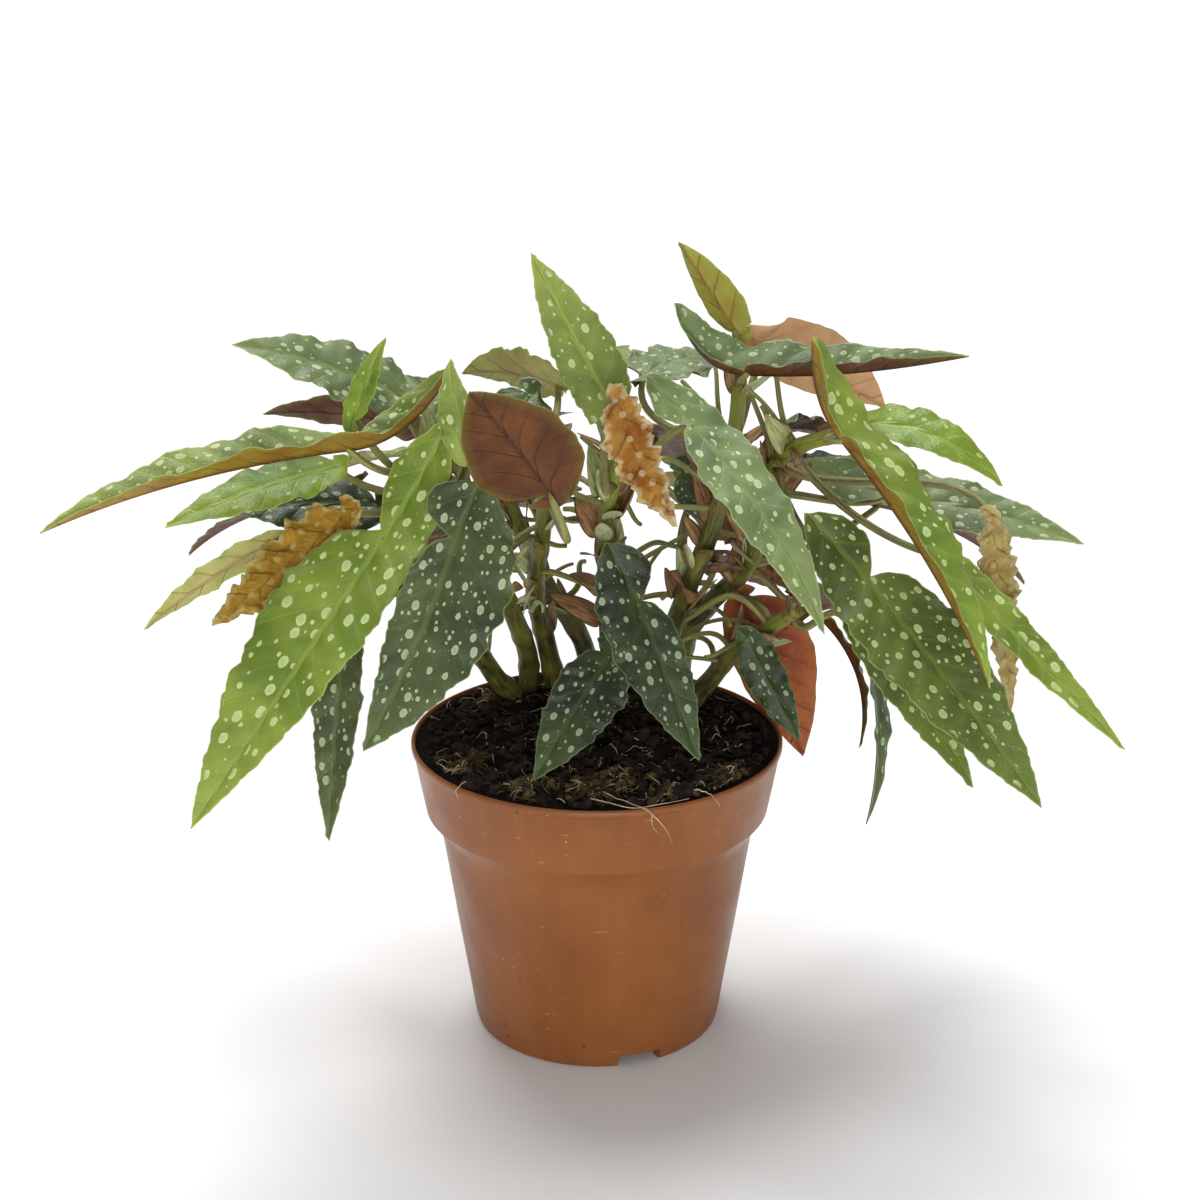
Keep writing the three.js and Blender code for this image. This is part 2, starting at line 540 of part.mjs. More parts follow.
export default plant;
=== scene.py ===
"""Potted begonia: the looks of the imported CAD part, in metres, in the part's own frame.

The canes and leaves repeat the CAD's sizes in millimetres, because this script can't read that file.
"""
import math

import bmesh
import bpy
import numpy as np
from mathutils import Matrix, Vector


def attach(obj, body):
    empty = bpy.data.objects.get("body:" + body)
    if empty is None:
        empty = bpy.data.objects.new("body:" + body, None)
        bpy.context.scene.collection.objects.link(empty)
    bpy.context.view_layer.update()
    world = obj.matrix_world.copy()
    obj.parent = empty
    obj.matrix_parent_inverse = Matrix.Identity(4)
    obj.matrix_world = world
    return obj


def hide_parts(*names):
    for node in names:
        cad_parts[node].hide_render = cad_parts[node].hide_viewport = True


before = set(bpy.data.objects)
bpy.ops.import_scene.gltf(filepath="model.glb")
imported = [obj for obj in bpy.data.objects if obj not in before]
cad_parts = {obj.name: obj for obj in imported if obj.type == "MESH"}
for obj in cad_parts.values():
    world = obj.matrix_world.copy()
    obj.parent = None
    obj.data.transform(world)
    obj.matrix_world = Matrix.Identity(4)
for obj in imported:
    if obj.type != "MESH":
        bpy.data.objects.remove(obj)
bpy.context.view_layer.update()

MM = 0.001

# ---- sizes shared with the CAD, in millimetres ------------------------------------------------
GAP = 0.3
CANE_BASE_RADIUS = 3.9
CANE_TIP_RADIUS = 2.4
CANE_FOOT_DEPTH = 10
STALK_RADIUS = 1.25
NOTCH_HALF_WIDTH = 1.2
EAR_MIN_LENGTH = 5
EAR_INNER_SHARE = 0.55
BLADE_CURL = 0.12
WIDE_SWELL = (0.6, 0.95)
NARROW_SWELL = (0.42, 0.95)

# ---- sizes of the fine surface, in millimetres ------------------------------------------------
BLADE_SKIN = 0.2  # half the blade's thickness
MIN_HALF_WIDTH = 0.12
BLADE_ROWS = 100
BLADE_COLUMNS = 21
LOBE_SPACING = 8.5
TOOTH_SPACING = 3.4
TEETH = {"dry": 3.2, "rust": 0.5, "young": 0.6}  # how deep the margin is cut, by look
COMMON_TEETH = 0.9
CALM_TEETH = 0.2
CALM_RELIEF = 0.35
CALM_LEAVES = ("leaf_middle_underside", "leaf_top_right_underside", "leaf_top_bud_right", "leaf_right_red")
VEIN_SPACING = 9.5
VEIN_SLOPE = 0.95  # how far along the blade a side vein runs for each millimetre out
FULL_RELIEF_WIDTH = 13  # a narrower blade is flatter in proportion
FRILL_HEIGHT = 1.3
FRILL_COUNT = 4.5
FINE_FRILL_HEIGHT = 0.5
FINE_FRILL_COUNT = 11
PUCKER_HEIGHT = 0.28
GROOVE_DEPTH = 0.5
RIDGE_HEIGHT = 0.75
FAR = 9.0  # the stalk's value for distances that only matter on the blade
FAR_FROM_HUB = 99.0
STALK_RINGS = 26
STALK_SIDES = 10
STALK_TIP_RADIUS = 0.3
STALK_SUNK = 0.6
CANE_SIDES = 20
KNOT_SPACING = 19
TWIG_COUNT = 58
BRACT_ROWS = 9
BRACT_COLUMNS = 5
BRACT_SKIN = 0.08  # half a bract's thickness
MIDDLE_CANES = ("cane_middle", "cane_right", "cane_right_tall")
FIRST_LEAF_SEED = 100

# radius and height of each point of the pot's profile, going up outside and down inside
POT_OUTSIDE = [
    (39.0, 0), (39.7, 0.15), (40.15, 0.6), (40.42, 1.4), (41.0, 4.2), (42.6, 15), (46.2, 38),
    (49.3, 59), (50.1, 64.0), (50.55, 67.0), (51.05, 69.0), (51.8, 70.7), (52.9, 72.4), (54.3, 74.3),
    (55.35, 75.7), (55.6, 76.0), (55.68, 76.4), (57.5, 86), (59.25, 96.0), (59.45, 96.6),
    (59.9, 96.95), (60.0, 97.3), (60.0, 98.3), (59.8, 98.75), (59.4, 99.0),
]
POT_INSIDE = [(58.95, 98.95), (58.65, 98.6), (58.5, 97.5), (57.0, 90), (54.2, 76), (49.5, 69), (40.0, 8)]
POT_FOOT_RADIUS = 36.0
POT_FLOOR = 4.2
NOTCH_HALF_ANGLE = 10.3
NOTCH_ANGLES = (-70, 50, 170)  # degrees
PEAT_RADIUS = 58.3
PEAT_EDGE = 98.0
PEAT_CROWN = 3.3
PEAT_BODY = ((57.0, 90), (53.8, 76), (49.1, 69), (39.8, 8.4))  # radius and height below the surface
PEAT_RINGS = 90
PEAT_SIDES = 220
MOSS_SPOTS = ((-42, -24), (-3, -44), (6, -40), (42, -33), (-34, 30), (22, -46), (-22, -42))
MOSS_SPREAD = 3.6
ROOTLETS = (
    ((2, -50, 101), (8, -55, 100.4), (13, -58.2, 99.9), (16, -59.4, 98.6), (17, -59.2, 94), (19, -58.6, 91)),
    ((13, -58.2, 99.9), (15.5, -59.4, 99.0), (19, -58.7, 95), (22, -57.2, 90), (23, -56.4, 87)),
    ((-2, -54, 100.6), (6, -57, 100.2), (12, -58.6, 99.8), (20, -56, 100), (28, -52, 100)),
    ((30, -47, 100.6), (34, -48.6, 99.9), (36, -48.6, 98), (37.5, -47.2, 95.5)),
    ((-38, -38, 100.4), (-41, -42, 100.0), (-43, -42.6, 98.2), (-43, -41.7, 95)),
)

# ---- stage, in metres --------------------------------------------------------------------------
FLOOR_HALF = 85.0
WORLD_STRENGTH = 0.38
KEY_DIRECTION = (-0.12, 0.52, 1.0)
KEY_SPREAD = 36  # degrees
KEY_STRENGTH = 3.1
FILL_PLACE = (0.05, -1.75, 0.3)
FILL_AIM = (0, 0, 0.17)
FILL_SIZE = 0.8
FILL_WATTS = 16
SENSOR_WIDTH = 36  # millimetres, as the lens is
CAMERA_LENS = 70.98
CAMERA_PLACE = (0.001, -0.707, 0.3956)
CAMERA_TILT = 19.5  # degrees below level

# ---- canes and leaves, shared with the CAD, in millimetres ----------------------------------
CANES = {
    "cane_low_left": [(-28, 31, 100), (-33, 26, 108), (-38, 19, 119), (-45, 4, 133),
        (-54, -12, 148), (-59, -22, 163)],
    "cane_left": [(-23, 37, 100), (-23, 28, 116), (-27, 12, 136), (-33, -4, 160), (-40, -14, 179),
        (-52, -26, 204)],
    "cane_middle_left": [(-14, 38, 100), (-17, 30, 120), (-20, 18, 142), (-17, 6, 167),
        (-15, 0, 195), (-14, 0, 205)],
    "cane_back_left": [(-2, 40, 100), (-5, 36, 118), (-12, 36, 130), (-20, 38, 143),
        (-30, 44, 167), (-35, 46, 181)],
    "cane_middle": [(6, 28, 100), (4, 12, 127), (3, -4, 157), (3, -12, 177), (6, -18, 193),
        (8, -22, 206)],
    "cane_right_tall": [(18, 36, 100), (22, 24, 119), (29, 10, 145), (38, -2, 176), (43, -2, 205),
        (44, 5, 220)],
    "cane_low_right": [(32, 26, 100), (38, 22, 110), (44, 16, 121), (53, 8, 131), (63, -6, 144)],
    "cane_right": [(28, 42, 100), (30, 38, 118), (36, 32, 131), (50, 18, 153), (52, -6, 188),
        (61, -22, 202), (70, -35, 209)],
}

# name, cane, share of the cane where the stalk starts, joint of stalk and blade, tip, end of the
# ear, way the upper side faces, half widths of the narrow and the wide side, fold in degrees,
# arch and sideways bend as shares of the length, side of the ear (1 left, -1 right), look
LEAVES = [
    ("leaf_front_left_bright", "cane_left", 0.8, (-61, -60, 186), (-113, -108, 116), (-42, -50, 218),
     (-0.2, -0.75, 0.6), 19, 14, 10, 0.04, 0.02, 1, "bright"),
    ("leaf_front_left_dark", "cane_left", 0.66, (-40, -70, 188), (-65, -100, 136), (-33, -62, 203),
     (0, -0.9, 0.45), 10, 20, 8, 0.03, 0.03, 1, "dark"),
    ("leaf_front_small_dark", "cane_middle", 0.2, (4, -25, 136), (-19, -50, 105), (8, -24, 141),
     (-0.1, -0.8, 0.6), 10, 12, 8, 0.04, 0, 1, "dark"),
    ("leaf_front_middle_dark", "cane_middle", 0.5, (12, -50, 162), (30, -72, 121), (3, -45, 179),
     (0.1, -0.9, 0.45), 8, 13, 8, 0.03, 0, -1, "dark"),
    ("leaf_front_grey", "cane_middle", 0.93, (27, -55, 218), (63, -95, 169), (14, -50, 231),
     (0.25, -0.8, 0.55), 9, 10, 8, 0.04, 0.03, 1, "grey"),
    ("leaf_top_right_folded", "cane_right_tall", 0.96, (45, -10, 222), (109, -30, 232), (24, 0, 241),
     (0, -0.1, 1), 11, 12, 40, -0.03, 0, 1, "grey"),
    ("leaf_top_right_underside", "cane_right_tall", 0.86, (53, 25, 220), (94, 40, 198), (47, 27, 228),
     (0.2, 0.95, 0.1), 8, 16, 5, 0.03, 0, -1, "rust"),
    ("leaf_top_bud_right", "cane_right_tall", 1, (43, 8, 230), (25, 8, 258), (46, 8, 231),
     (0.5, 0.8, 0.1), 7, 8, 25, 0, 0, 1, "young"),
    ("leaf_top_upright", "cane_middle", 1, (5, -30, 215), (-19, -30, 262), (2, -30, 203),
     (-0.1, -0.95, 0.2), 10.5, 9, 12, 0.03, 0, 1, "light"),
    ("leaf_dry_middle", "cane_middle", 0.86, (6, -64, 227), (23, -70, 192), (7, -64, 232),
     (0, -1, 0.1), 7, 7, 0, 0, -0.06, 1, "dry"),
    ("leaf_top_left_grey", "cane_left", 0.9, (-60, -4, 213), (-108, -20, 233), (-46, 2, 215),
     (0, -0.5, 0.85), 13, 13, 8, 0.05, 0, -1, "grey"),
    ("leaf_far_left_folded", "cane_left", 0.97, (-72, -44, 208), (-154, -84, 195), (-43, -30, 229),
     (0, 0, 1), 12, 13, 38, 0.04, 0, 1, "light"),
    ("leaf_left_bud", "cane_left", 0.93, (-71, -39, 215), (-61, -38, 239), (-71, -39, 214),
     (-0.6, -0.8, 0.2), 5, 5, 20, 0, 0, 1, "young"),
    ("leaf_left_young", "cane_left", 0.88, (-77, -33, 199), (-123, -64, 190), (-76, -33, 200),
     (0, -0.5, 0.85), 9, 9, 5, 0.04, 0, 1, "young"),
    ("leaf_left_back_dark", "cane_left", 0.76, (-68, -10, 180), (-111, -25, 183), (-67, -10, 181),
     (0, -0.6, 0.8), 10, 12, 5, 0.04, 0, 1, "dark"),
    ("leaf_left_narrow", "cane_low_left", 0.9, (-96, -35, 177), (-135, -45, 152), (-94, -35, 178),
     (0.1, 0.75, 0.6), 6, 6, 10, 0.04, 0, 1, "light"),
    ("leaf_left_dry", "cane_left", 0.85, (-73, -50, 190), (-110, -72, 163), (-72, -50, 191),
     (-0.1, -0.8, 0.5), 9, 10, 5, 0, 0, 1, "dry"),
    ("leaf_left_hanging", "cane_low_left", 1, (-75, -40, 153), (-80, -65, 92), (-73, -40, 157),
     (-0.3, -0.9, 0.2), 8, 8, 15, 0.02, 0, 1, "dark"),
    ("leaf_middle_underside", "cane_middle_left", 0.85, (-13, -70, 202), (-34, -92, 237), (-12, -70, 200),
     (0.3, 0.85, -0.4), 16, 16, 8, 0.03, 0, 1, "rust"),
    ("leaf_middle_upright", "cane_left", 0.88, (-38, -60, 212), (-41, -60, 238), (-37, -60, 211),
     (-0.5, -0.8, 0), 6, 7, 10, 0, 0, 1, "light"),
    ("leaf_top_back_left", "cane_middle_left", 0.97, (-12, 25, 209), (-44, 45, 208), (-10, 25, 209),
     (0, 0.8, 0.5), 11, 12, 10, 0.08, 0, 1, "light"),
    ("leaf_middle_teal", "cane_middle_left", 1, (-20, -15, 216), (-37, -40, 200), (-18, -15, 218),
     (0, -0.8, 0.6), 10, 11, 5, 0.05, 0, 1, "mid"),
    ("leaf_top_back_right", "cane_right_tall", 0.82, (15, 20, 214), (42, 60, 210), (14, 20, 213),
     (0, -0.2, 1), 14, 14, 5, 0.05, 0, 1, "grey"),
    ("leaf_right_folded", "cane_right", 1, (70, -60, 215), (108, -105, 157), (62, -55, 243),
     (0.65, -0.2, 0.75), 12, 15, 34, 0.04, 0, 1, "bright"),
    ("leaf_right_young", "cane_right", 0.97, (77, -40, 214), (116, -60, 201), (76, -40, 213),
     (0, -0.6, 0.8), 7, 8, 10, 0.18, 0, 1, "young"),
    ("leaf_right_dark", "cane_right", 0.68, (92, 5, 179), (150, -15, 169), (66, 10, 188),
     (0, -0.6, 0.8), 9, 11, 8, 0.04, 0, 1, "grey"),
    ("leaf_right_dry", "cane_right", 0.8, (117, -38, 184), (125, -46, 126), (116, -38, 185),
     (0, -1, 0.1), 5, 6, 0, 0, 0, 1, "dry"),
    ("leaf_far_right", "cane_right", 0.86, (102, -50, 177), (152, -80, 128), (100, -50, 178),
     (0.3, -0.7, 0.6), 6.5, 6.5, 15, 0.03, -0.035, 1, "bright"),
    ("leaf_front_right_big", "cane_right", 0.8, (77, -70, 176), (121, -120, 128), (60, -60, 193),
     (0.1, -0.85, 0.5), 14, 14, 8, 0.03, 0, -1, "dark"),
    ("leaf_front_right_low", "cane_right", 0.55, (76, -40, 159), (109, -80, 116), (74, -40, 163),
     (0, -0.85, 0.5), 8, 9, 8, 0.03, 0, 1, "dark"),
    ("leaf_right_edge_on", "cane_low_right", 0.95, (80, -25, 149), (83, -45, 88), (79, -25, 151),
     (0.9, -0.5, 0), 7, 7, 20, 0.08, 0, 1, "rust"),
    ("leaf_right_curved", "cane_low_right", 0.98, (68, -2, 143), (83, -20, 103), (67, -2, 144),
     (0.7, 0.2, 0.6), 7, 7, 20, 0.15, 0, 1, "rust"),
    ("leaf_right_red", "cane_low_right", 0.75, (48, 30, 135), (69, 22, 82), (46, 31, 138),
     (0.3, 0.9, -0.2), 17, 12, 8, 0.03, 0, 1, "red"),
    ("leaf_right_small", "cane_low_right", 0.62, (48, 0, 132), (65, -8, 100), (47, 0, 133),
     (-0.3, -0.9, 0.3), 7, 7, 8, 0.03, 0, 1, "dark"),
    ("leaf_back_right_high", "cane_right_tall", 0.7, (49, 55, 182), (84, 85, 175), (48, 55, 182),
     (0, 0.6, 0.8), 12, 12, 8, 0.1, 0, 1, "rust"),
    ("leaf_back_left_high", "cane_back_left", 1, (-53, 25, 194), (-108, 35, 197), (-51, 25, 194),
     (0, 0.75, 0.6), 10, 10, 8, 0.06, 0, 1, "rust"),
    ("leaf_back_left_low", "cane_back_left", 0.75, (-52, 35, 164), (-86, 60, 149), (-50, 35, 165),
     (0, 0.6, 0.8), 12, 12, 8, 0.08, 0, 1, "rust"),
    ("leaf_inner_right", "cane_right_tall", 0.3, (40, 50, 142), (63, 80, 121), (38, 50, 143),
     (0.1, 0.85, 0.5), 13, 13, 8, 0.08, 0, 1, "rust"),
    ("leaf_back_right_low", "cane_right", 0.42, (68, 40, 133), (100, 80, 107), (66, 40, 134),
     (0.2, 0.85, 0.5), 13, 13, 8, 0.08, 0, 1, "rust"),
    ("leaf_inner_withered", "cane_right_tall", 0.4, (34, 34, 169), (67, 30, 134), (32, 34, 171),
     (0, -1, 0.1), 7, 7, 5, 0.04, 0.06, 1, "dry"),
    ("leaf_inner_dark", "cane_right_tall", 0.76, (28, 10, 185), (39, 4, 167), (28, 10, 186),
     (-0.2, -0.9, 0.4), 7, 7, 12, 0.06, 0, 1, "dark"),
    ("leaf_back_a", "cane_back_left", 0.92, (-22, 58, 188), (-48, 118, 150), (-14, 40, 196),
     (-0.2, 0.6, 0.8), 13, 17, 10, 0.06, 0, 1, "dark"),
    ("leaf_back_b", "cane_right_tall", 0.6, (20, 62, 182), (34, 118, 148), (10, 44, 190),
     (0.1, 0.6, 0.8), 13, 18, 10, 0.06, 0, -1, "mid"),
    ("leaf_back_c", "cane_back_left", 0.97, (-60, 56, 178), (-112, 104, 146), (-46, 48, 186),
     (-0.4, 0.5, 0.8), 13, 16, 10, 0.06, 0, 1, "bright"),
    ("leaf_back_d", "cane_right", 0.5, (66, 56, 175), (118, 100, 152), (52, 46, 181),
     (0.4, 0.5, 0.8), 13, 17, 10, 0.06, 0, -1, "dark"),
    ("leaf_back_e", "cane_right", 0.45, (92, 30, 168), (148, 66, 128), (78, 22, 178),
     (0.5, 0.3, 0.8), 12, 15, 10, 0.06, 0, 1, "grey"),
    ("leaf_back_f", "cane_low_left", 0.85, (-88, 26, 172), (-140, 62, 140), (-74, 20, 182),
     (-0.5, 0.3, 0.8), 12, 15, 10, 0.06, 0, -1, "dark"),
    ("leaf_back_g", "cane_middle", 0.9, (0, 36, 210), (4, 104, 200), (-4, 18, 214),
     (0, 0.3, 1), 10, 13, 10, 0.06, 0, 1, "light"),
    ("leaf_back_h", "cane_back_left", 0.6, (-24, 70, 158), (-70, 108, 118), (-16, 60, 168),
     (-0.3, 0.7, 0.6), 12, 15, 10, 0.06, 0, 1, "grey"),
    ("leaf_back_i", "cane_right", 0.2, (34, 72, 160), (74, 112, 122), (26, 62, 170),
     (0.3, 0.7, 0.6), 12, 15, 10, 0.06, 0, -1, "bright"),
]


# ---- arithmetic --------------------------------------------------------------------------------
def unit(v):
    return v / np.linalg.norm(v)


def unit_rows(v):
    return v / np.maximum(np.linalg.norm(v, axis=1), 1e-12)[:, None]


def swell(q, rise, fall):
    """A rise from 0 and a fall back to 0 over q in 0..1, with 1 at its top."""
    top = rise / (rise + fall)
    q = np.clip(q, 0, 1)
    return (q / top) ** rise * ((1 - q) / (1 - top)) ** fall


def smooth(x, low, high):
    t = np.clip((x - low) / (high - low), 0, 1)
    return t * t * (3 - 2 * t)


def lin(r, g, b):
    """A linear colour from its 0..255 screen values."""
    out = []
    for c in (r, g, b):
        c = c / 255
        out.append(c / 12.92 if c <= 0.04045 else ((c + 0.055) / 1.055) ** 2.4)
    return (*out, 1.0)


# ---- mesh building -----------------------------------------------------------------------------
def make_object(name, points, faces, materials, slots=None):
    """A smooth mesh object from points in millimetres; slots gives each face's material."""
    mesh = bpy.data.meshes.new(name)
    mesh.from_pydata([tuple(p) for p in np.asarray(points) * MM], [], faces)
    for material in materials:
        mesh.materials.append(material)
    if slots is not None:
        mesh.polygons.foreach_set("material_index", np.asarray(slots, np.int32))
    mesh.polygons.foreach_set("use_smooth", np.full(len(faces), True))
    mesh.update()
    obj = bpy.data.objects.new(name, mesh)
    bpy.context.scene.collection.objects.link(obj)
    return obj


def fix(obj, node=None):
    """Fixes a piece to the part's one body, in the place of a CAD node where it has one."""
    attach(obj, "root")
    if node:
        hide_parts(node)


def face_outward(obj, weld=0.0):
    """Turns the faces outward, after joining points that lie closer together than weld metres."""
    mesh = bmesh.new()
    mesh.from_mesh(obj.data)
    if weld:
        bmesh.ops.remove_doubles(mesh, verts=mesh.verts, dist=weld)
    bmesh.ops.recalc_face_normals(mesh, faces=mesh.faces)
    mesh.to_mesh(obj.data)
    mesh.free()


def set_points(obj, **values):
    for key, data in values.items():
        layer = obj.data.attributes.new(key, "FLOAT", "POINT")
        layer.data.foreach_set("value", np.asarray(data, np.float32))


def set_uv(obj, uv):
    """Gives each corner of a face the place of its point, in centimetres."""
    layer = obj.data.uv_layers.new(name="blade")
    index = np.zeros(len(obj.data.loops), np.int32)
    obj.data.loops.foreach_get("vertex_index", index)
    layer.data.foreach_set("uv", np.asarray(uv, np.float32)[index].ravel())


def grid_faces(rows, columns, closed=False, flip=False):
    """Faces of a grid of points, row by row; closed joins each row's end to its start."""
    faces = []
    for i in range(rows - 1):
        for j in range(columns if closed else columns - 1):
            a = i * columns + j
            b = i * columns + (j + 1) % columns
            face = (a, b, b + columns, a + columns)
            faces.append(face[::-1] if flip else face)
    return faces


def shifted(faces, start):
    return [tuple(start + k for k in face) for face in faces]


def bar_faces(rings, sides):
    """Faces of a closed round bar: its wall, then a cap at each end."""
    last = (rings - 1) * sides
    caps = [tuple(range(sides))[::-1], tuple(range(last, last + sides))]
    return grid_faces(rings, sides, closed=True) + caps


def sheet_faces(rows, columns, flip=False):
    """Faces of a thin sheet: its upper skin, its lower skin and the wall along its rim."""
    count = rows * columns
    rim = list(range(columns)) + [i * columns + columns - 1 for i in range(1, rows)]
    rim += [(rows - 1) * columns + j for j in range(columns - 2, -1, -1)]
    rim += [i * columns for i in range(rows - 2, 0, -1)]
    wall = [(b, a, a + count, b + count) for a, b in zip(rim, rim[1:] + rim[:1])]
    if flip:
        wall = [face[::-1] for face in wall]
    lower = shifted(grid_faces(rows, columns, flip=not flip), count)
    return grid_faces(rows, columns, flip=flip), lower, wall


def circle(radius, sides):
    angle = np.arange(sides) * 2 * math.pi / sides
    return radius * np.cos(angle), radius * np.sin(angle)


def tube(path, radii, sides):
    """Points of a round bar along a path, ring by ring, with a frame that doesn't twist."""
    path = np.asarray(path, float)
    tangent = unit_rows(np.gradient(path, axis=0))
    normal = unit(np.cross(tangent[0], (0.31, 0.17, 0.93)))
    cosine, sine = circle(1.0, sides)
    points = []
    for i, centre in enumerate(path):
        normal = unit(normal - tangent[i] * (normal @ tangent[i]))
        other = np.cross(tangent[i], normal)
        ring = cosine[:, None] * normal + sine[:, None] * other
        points.append(centre + ring * radii[i])
    return np.concatenate(points)


class Bits:
    """Many small closed bits that make one piece."""

    def __init__(self):
        self.points, self.faces, self.count = [], [], 0

    def add(self, points, faces):
        self.faces += shifted(faces, self.count)
        self.points.append(points)
        self.count += len(points)

    def piece(self, name, material):
        obj = make_object(name, np.vstack(self.points), self.faces, [material])
        fix(obj)
        return obj


# ---- curves ------------------------------------------------------------------------------------
def spline(points, samples=40):
    """A centripetal Catmull-Rom curve through points, evenly spaced along its length."""
    p = np.asarray(points, float)
    p = np.vstack([2 * p[0] - p[1], p, 2 * p[-1] - p[-2]])
    out = []
    for i in range(1, len(p) - 2):
        d0, d1, d2 = (np.linalg.norm(p[i + k] - p[i + k - 1]) ** 0.5 for k in (0, 1, 2))
        t1 = (p[i] - p[i - 1]) / d0 - (p[i + 1] - p[i - 1]) / (d0 + d1) + (p[i + 1] - p[i]) / d1
        t2 = (p[i + 1] - p[i]) / d1 - (p[i + 2] - p[i]) / (d1 + d2) + (p[i + 2] - p[i + 1]) / d2
        t = np.linspace(0, 1, samples, endpoint=False)[:, None]
        h = (2 * t**3 - 3 * t**2 + 1, t**3 - 2 * t**2 + t, 3 * t**2 - 2 * t**3, t**3 - t**2)
        out.append(h[0] * p[i] + h[1] * t1 * d1 + h[2] * p[i + 1] + h[3] * t2 * d1)
    out.append(p[-2][None])
    return even(np.vstack(out), 240)


def path_length(path):
    return np.linalg.norm(np.diff(path, axis=0), axis=1).sum()


def even(path, count):
    """The same path with count points, evenly spaced along its length."""
    length = np.concatenate([[0], np.cumsum(np.linalg.norm(np.diff(path, axis=0), axis=1))])
    where = np.linspace(0, length[-1], count)
    return np.stack([np.interp(where, length, path[:, k]) for k in range(3)], axis=1)


def cubic(a, b, c, d, count):
    t = np.linspace(0, 1, count)[:, None]
    return (1 - t) ** 3 * a + 3 * (1 - t) ** 2 * t * b + 3 * (1 - t) * t**2 * c + t**3 * d


def cane_path(name):
    foot = list(CANES[name][0])
    foot[2] -= CANE_FOOT_DEPTH
    return spline([foot, *CANES[name]])


def cane_radius(t):
    return CANE_BASE_RADIUS + (CANE_TIP_RADIUS - CANE_BASE_RADIUS) * t


# ---- materials ---------------------------------------------------------------------------------
class Nodes:
    """Short calls for a node material. A colour of three numbers is in screen values, 0 to 255."""

    def __init__(self, name, roughness, specular):
        self.material = bpy.data.materials.new(name)
        self.material.use_nodes = True
        self.tree = self.material.node_tree
        self.shader = self.tree.nodes["Principled BSDF"]
        self.shader.inputs["Roughness"].default_value = roughness
        self.shader.inputs["Specular IOR Level"].default_value = specular

    def feed(self, socket, value):
        if isinstance(value, bpy.types.NodeSocket):
            self.tree.links.new(value, socket)
        else:
            socket.default_value = value

    def node(self, kind, **sockets):
        made = self.tree.nodes.new("ShaderNode" + kind)
        for key, value in sockets.items():
            self.feed(made.inputs[key], value)
        return made

    def math(self, operation, a, b):
        made = self.node("Math")
        made.operation = operation
        self.feed(made.inputs[0], a)
        self.feed(made.inputs[1], b)
        return made.outputs[0]

    def times(self, a, b):
        return self.math("MULTIPLY", a, b)

    def plus(self, a, b):
        return self.math("ADD", a, b)

    def minus(self, a, b):
        return self.math("SUBTRACT", a, b)

    def remap(self, value, low, high, to_low=0.0, to_high=1.0):
        made = self.node("MapRange")
        made.interpolation_type = "SMOOTHSTEP"
        for i, v in enumerate((value, low, high, to_low, to_high)):
            self.feed(made.inputs[i], v)
        return made.outputs[0]

    def mix(self, share, a, b):
        made = self.node("Mix")
        made.data_type = "RGBA"
        self.feed(made.inputs[0], share)
        for socket, colour in ((6, a), (7, b)):
            screen = isinstance(colour, tuple) and len(colour) == 3
            self.feed(made.inputs[socket], lin(*colour) if screen else colour)
        return made.outputs[2]

    def cover(self, colour, paint, share, most):
        """Paint over a colour, by a share of most."""
        return self.mix(self.times(share, most), colour, paint)

    def attribute(self, name):
        made = self.node("Attribute")
        made.attribute_name = name
        return made.outputs["Fac"]

    def span(self, name, low, high, to_low=0.0, to_high=1.0):
        """A point attribute as a ramp from low to high."""
        return self.remap(self.attribute(name), low, high, to_low, to_high)

    def uv(self):
        made = self.node("UVMap")
        made.uv_map = "blade"
        return made.outputs[0]

    def place(self):
        return self.node("TexCoord").outputs["Object"]

    def stretch(self, vector, scale, turn=(0, 0, 0)):
        return self.node("Mapping", Vector=vector, Scale=scale, Rotation=turn).outputs[0]

    def noise(self, vector, scale, detail, roughness=0.55):
        made = self.node("TexNoise", Vector=vector, Scale=scale, Detail=detail, Roughness=roughness)
        return made.outputs["Fac"]

    def clouds(self, vector, scale, detail, low, high, roughness=0.55):
        """Noise as a ramp from low to high."""
        return self.remap(self.noise(vector, scale, detail, roughness), low, high)

    def cells(self, vector, scale, randomness=1.0, flat=True):
        """How far a point is from the middle of its cell, and the cell's random colour."""
        made = self.node("TexVoronoi")
        made.voronoi_dimensions = "2D" if flat else "3D"
        self.feed(made.inputs["Vector"], vector)
        made.inputs["Scale"].default_value = scale
        made.inputs["Randomness"].default_value = randomness
        return made.outputs["Distance"], made.outputs["Color"]

    def channel(self, colour, number):
        made = self.node("SeparateColor")
        self.feed(made.inputs[0], colour)
        return made.outputs[number]

    def bump(self, height, distance, strength):
        return self.node("Bump", Height=height, Distance=distance, Strength=strength).outputs[0]

    def finish(self, colour, normal=None, roughness=None):
        self.feed(self.shader.inputs["Base Color"], colour)
        if normal is not None:
            self.feed(self.shader.inputs["Normal"], normal)
        if roughness is not None:
            self.feed(self.shader.inputs["Roughness"], roughness)
        return self.material


def side_veins(n, width, wobble=0.35):
    """1 along the side veins, and how far a point is from one (0 to 0.5)."""
    shift = n.times(n.noise(n.uv(), 0.8, 3.0), wobble)
    saw = n.math("PINGPONG", n.plus(n.attribute("phase"), shift), 0.5)
    return n.remap(saw, width, 0.0), saw


def large_spots(n, place, ragged, density, size):
    """How far outside a large spot's edge a point is, in cells."""
    far, chance = n.cells(place, density, 0.72)
    reach = n.remap(n.channel(chance, 0), 0.05, 0.95, 0.1 * size, 0.215 * size)
    return n.minus(n.plus(far, ragged), n.plus(reach, 0.06))


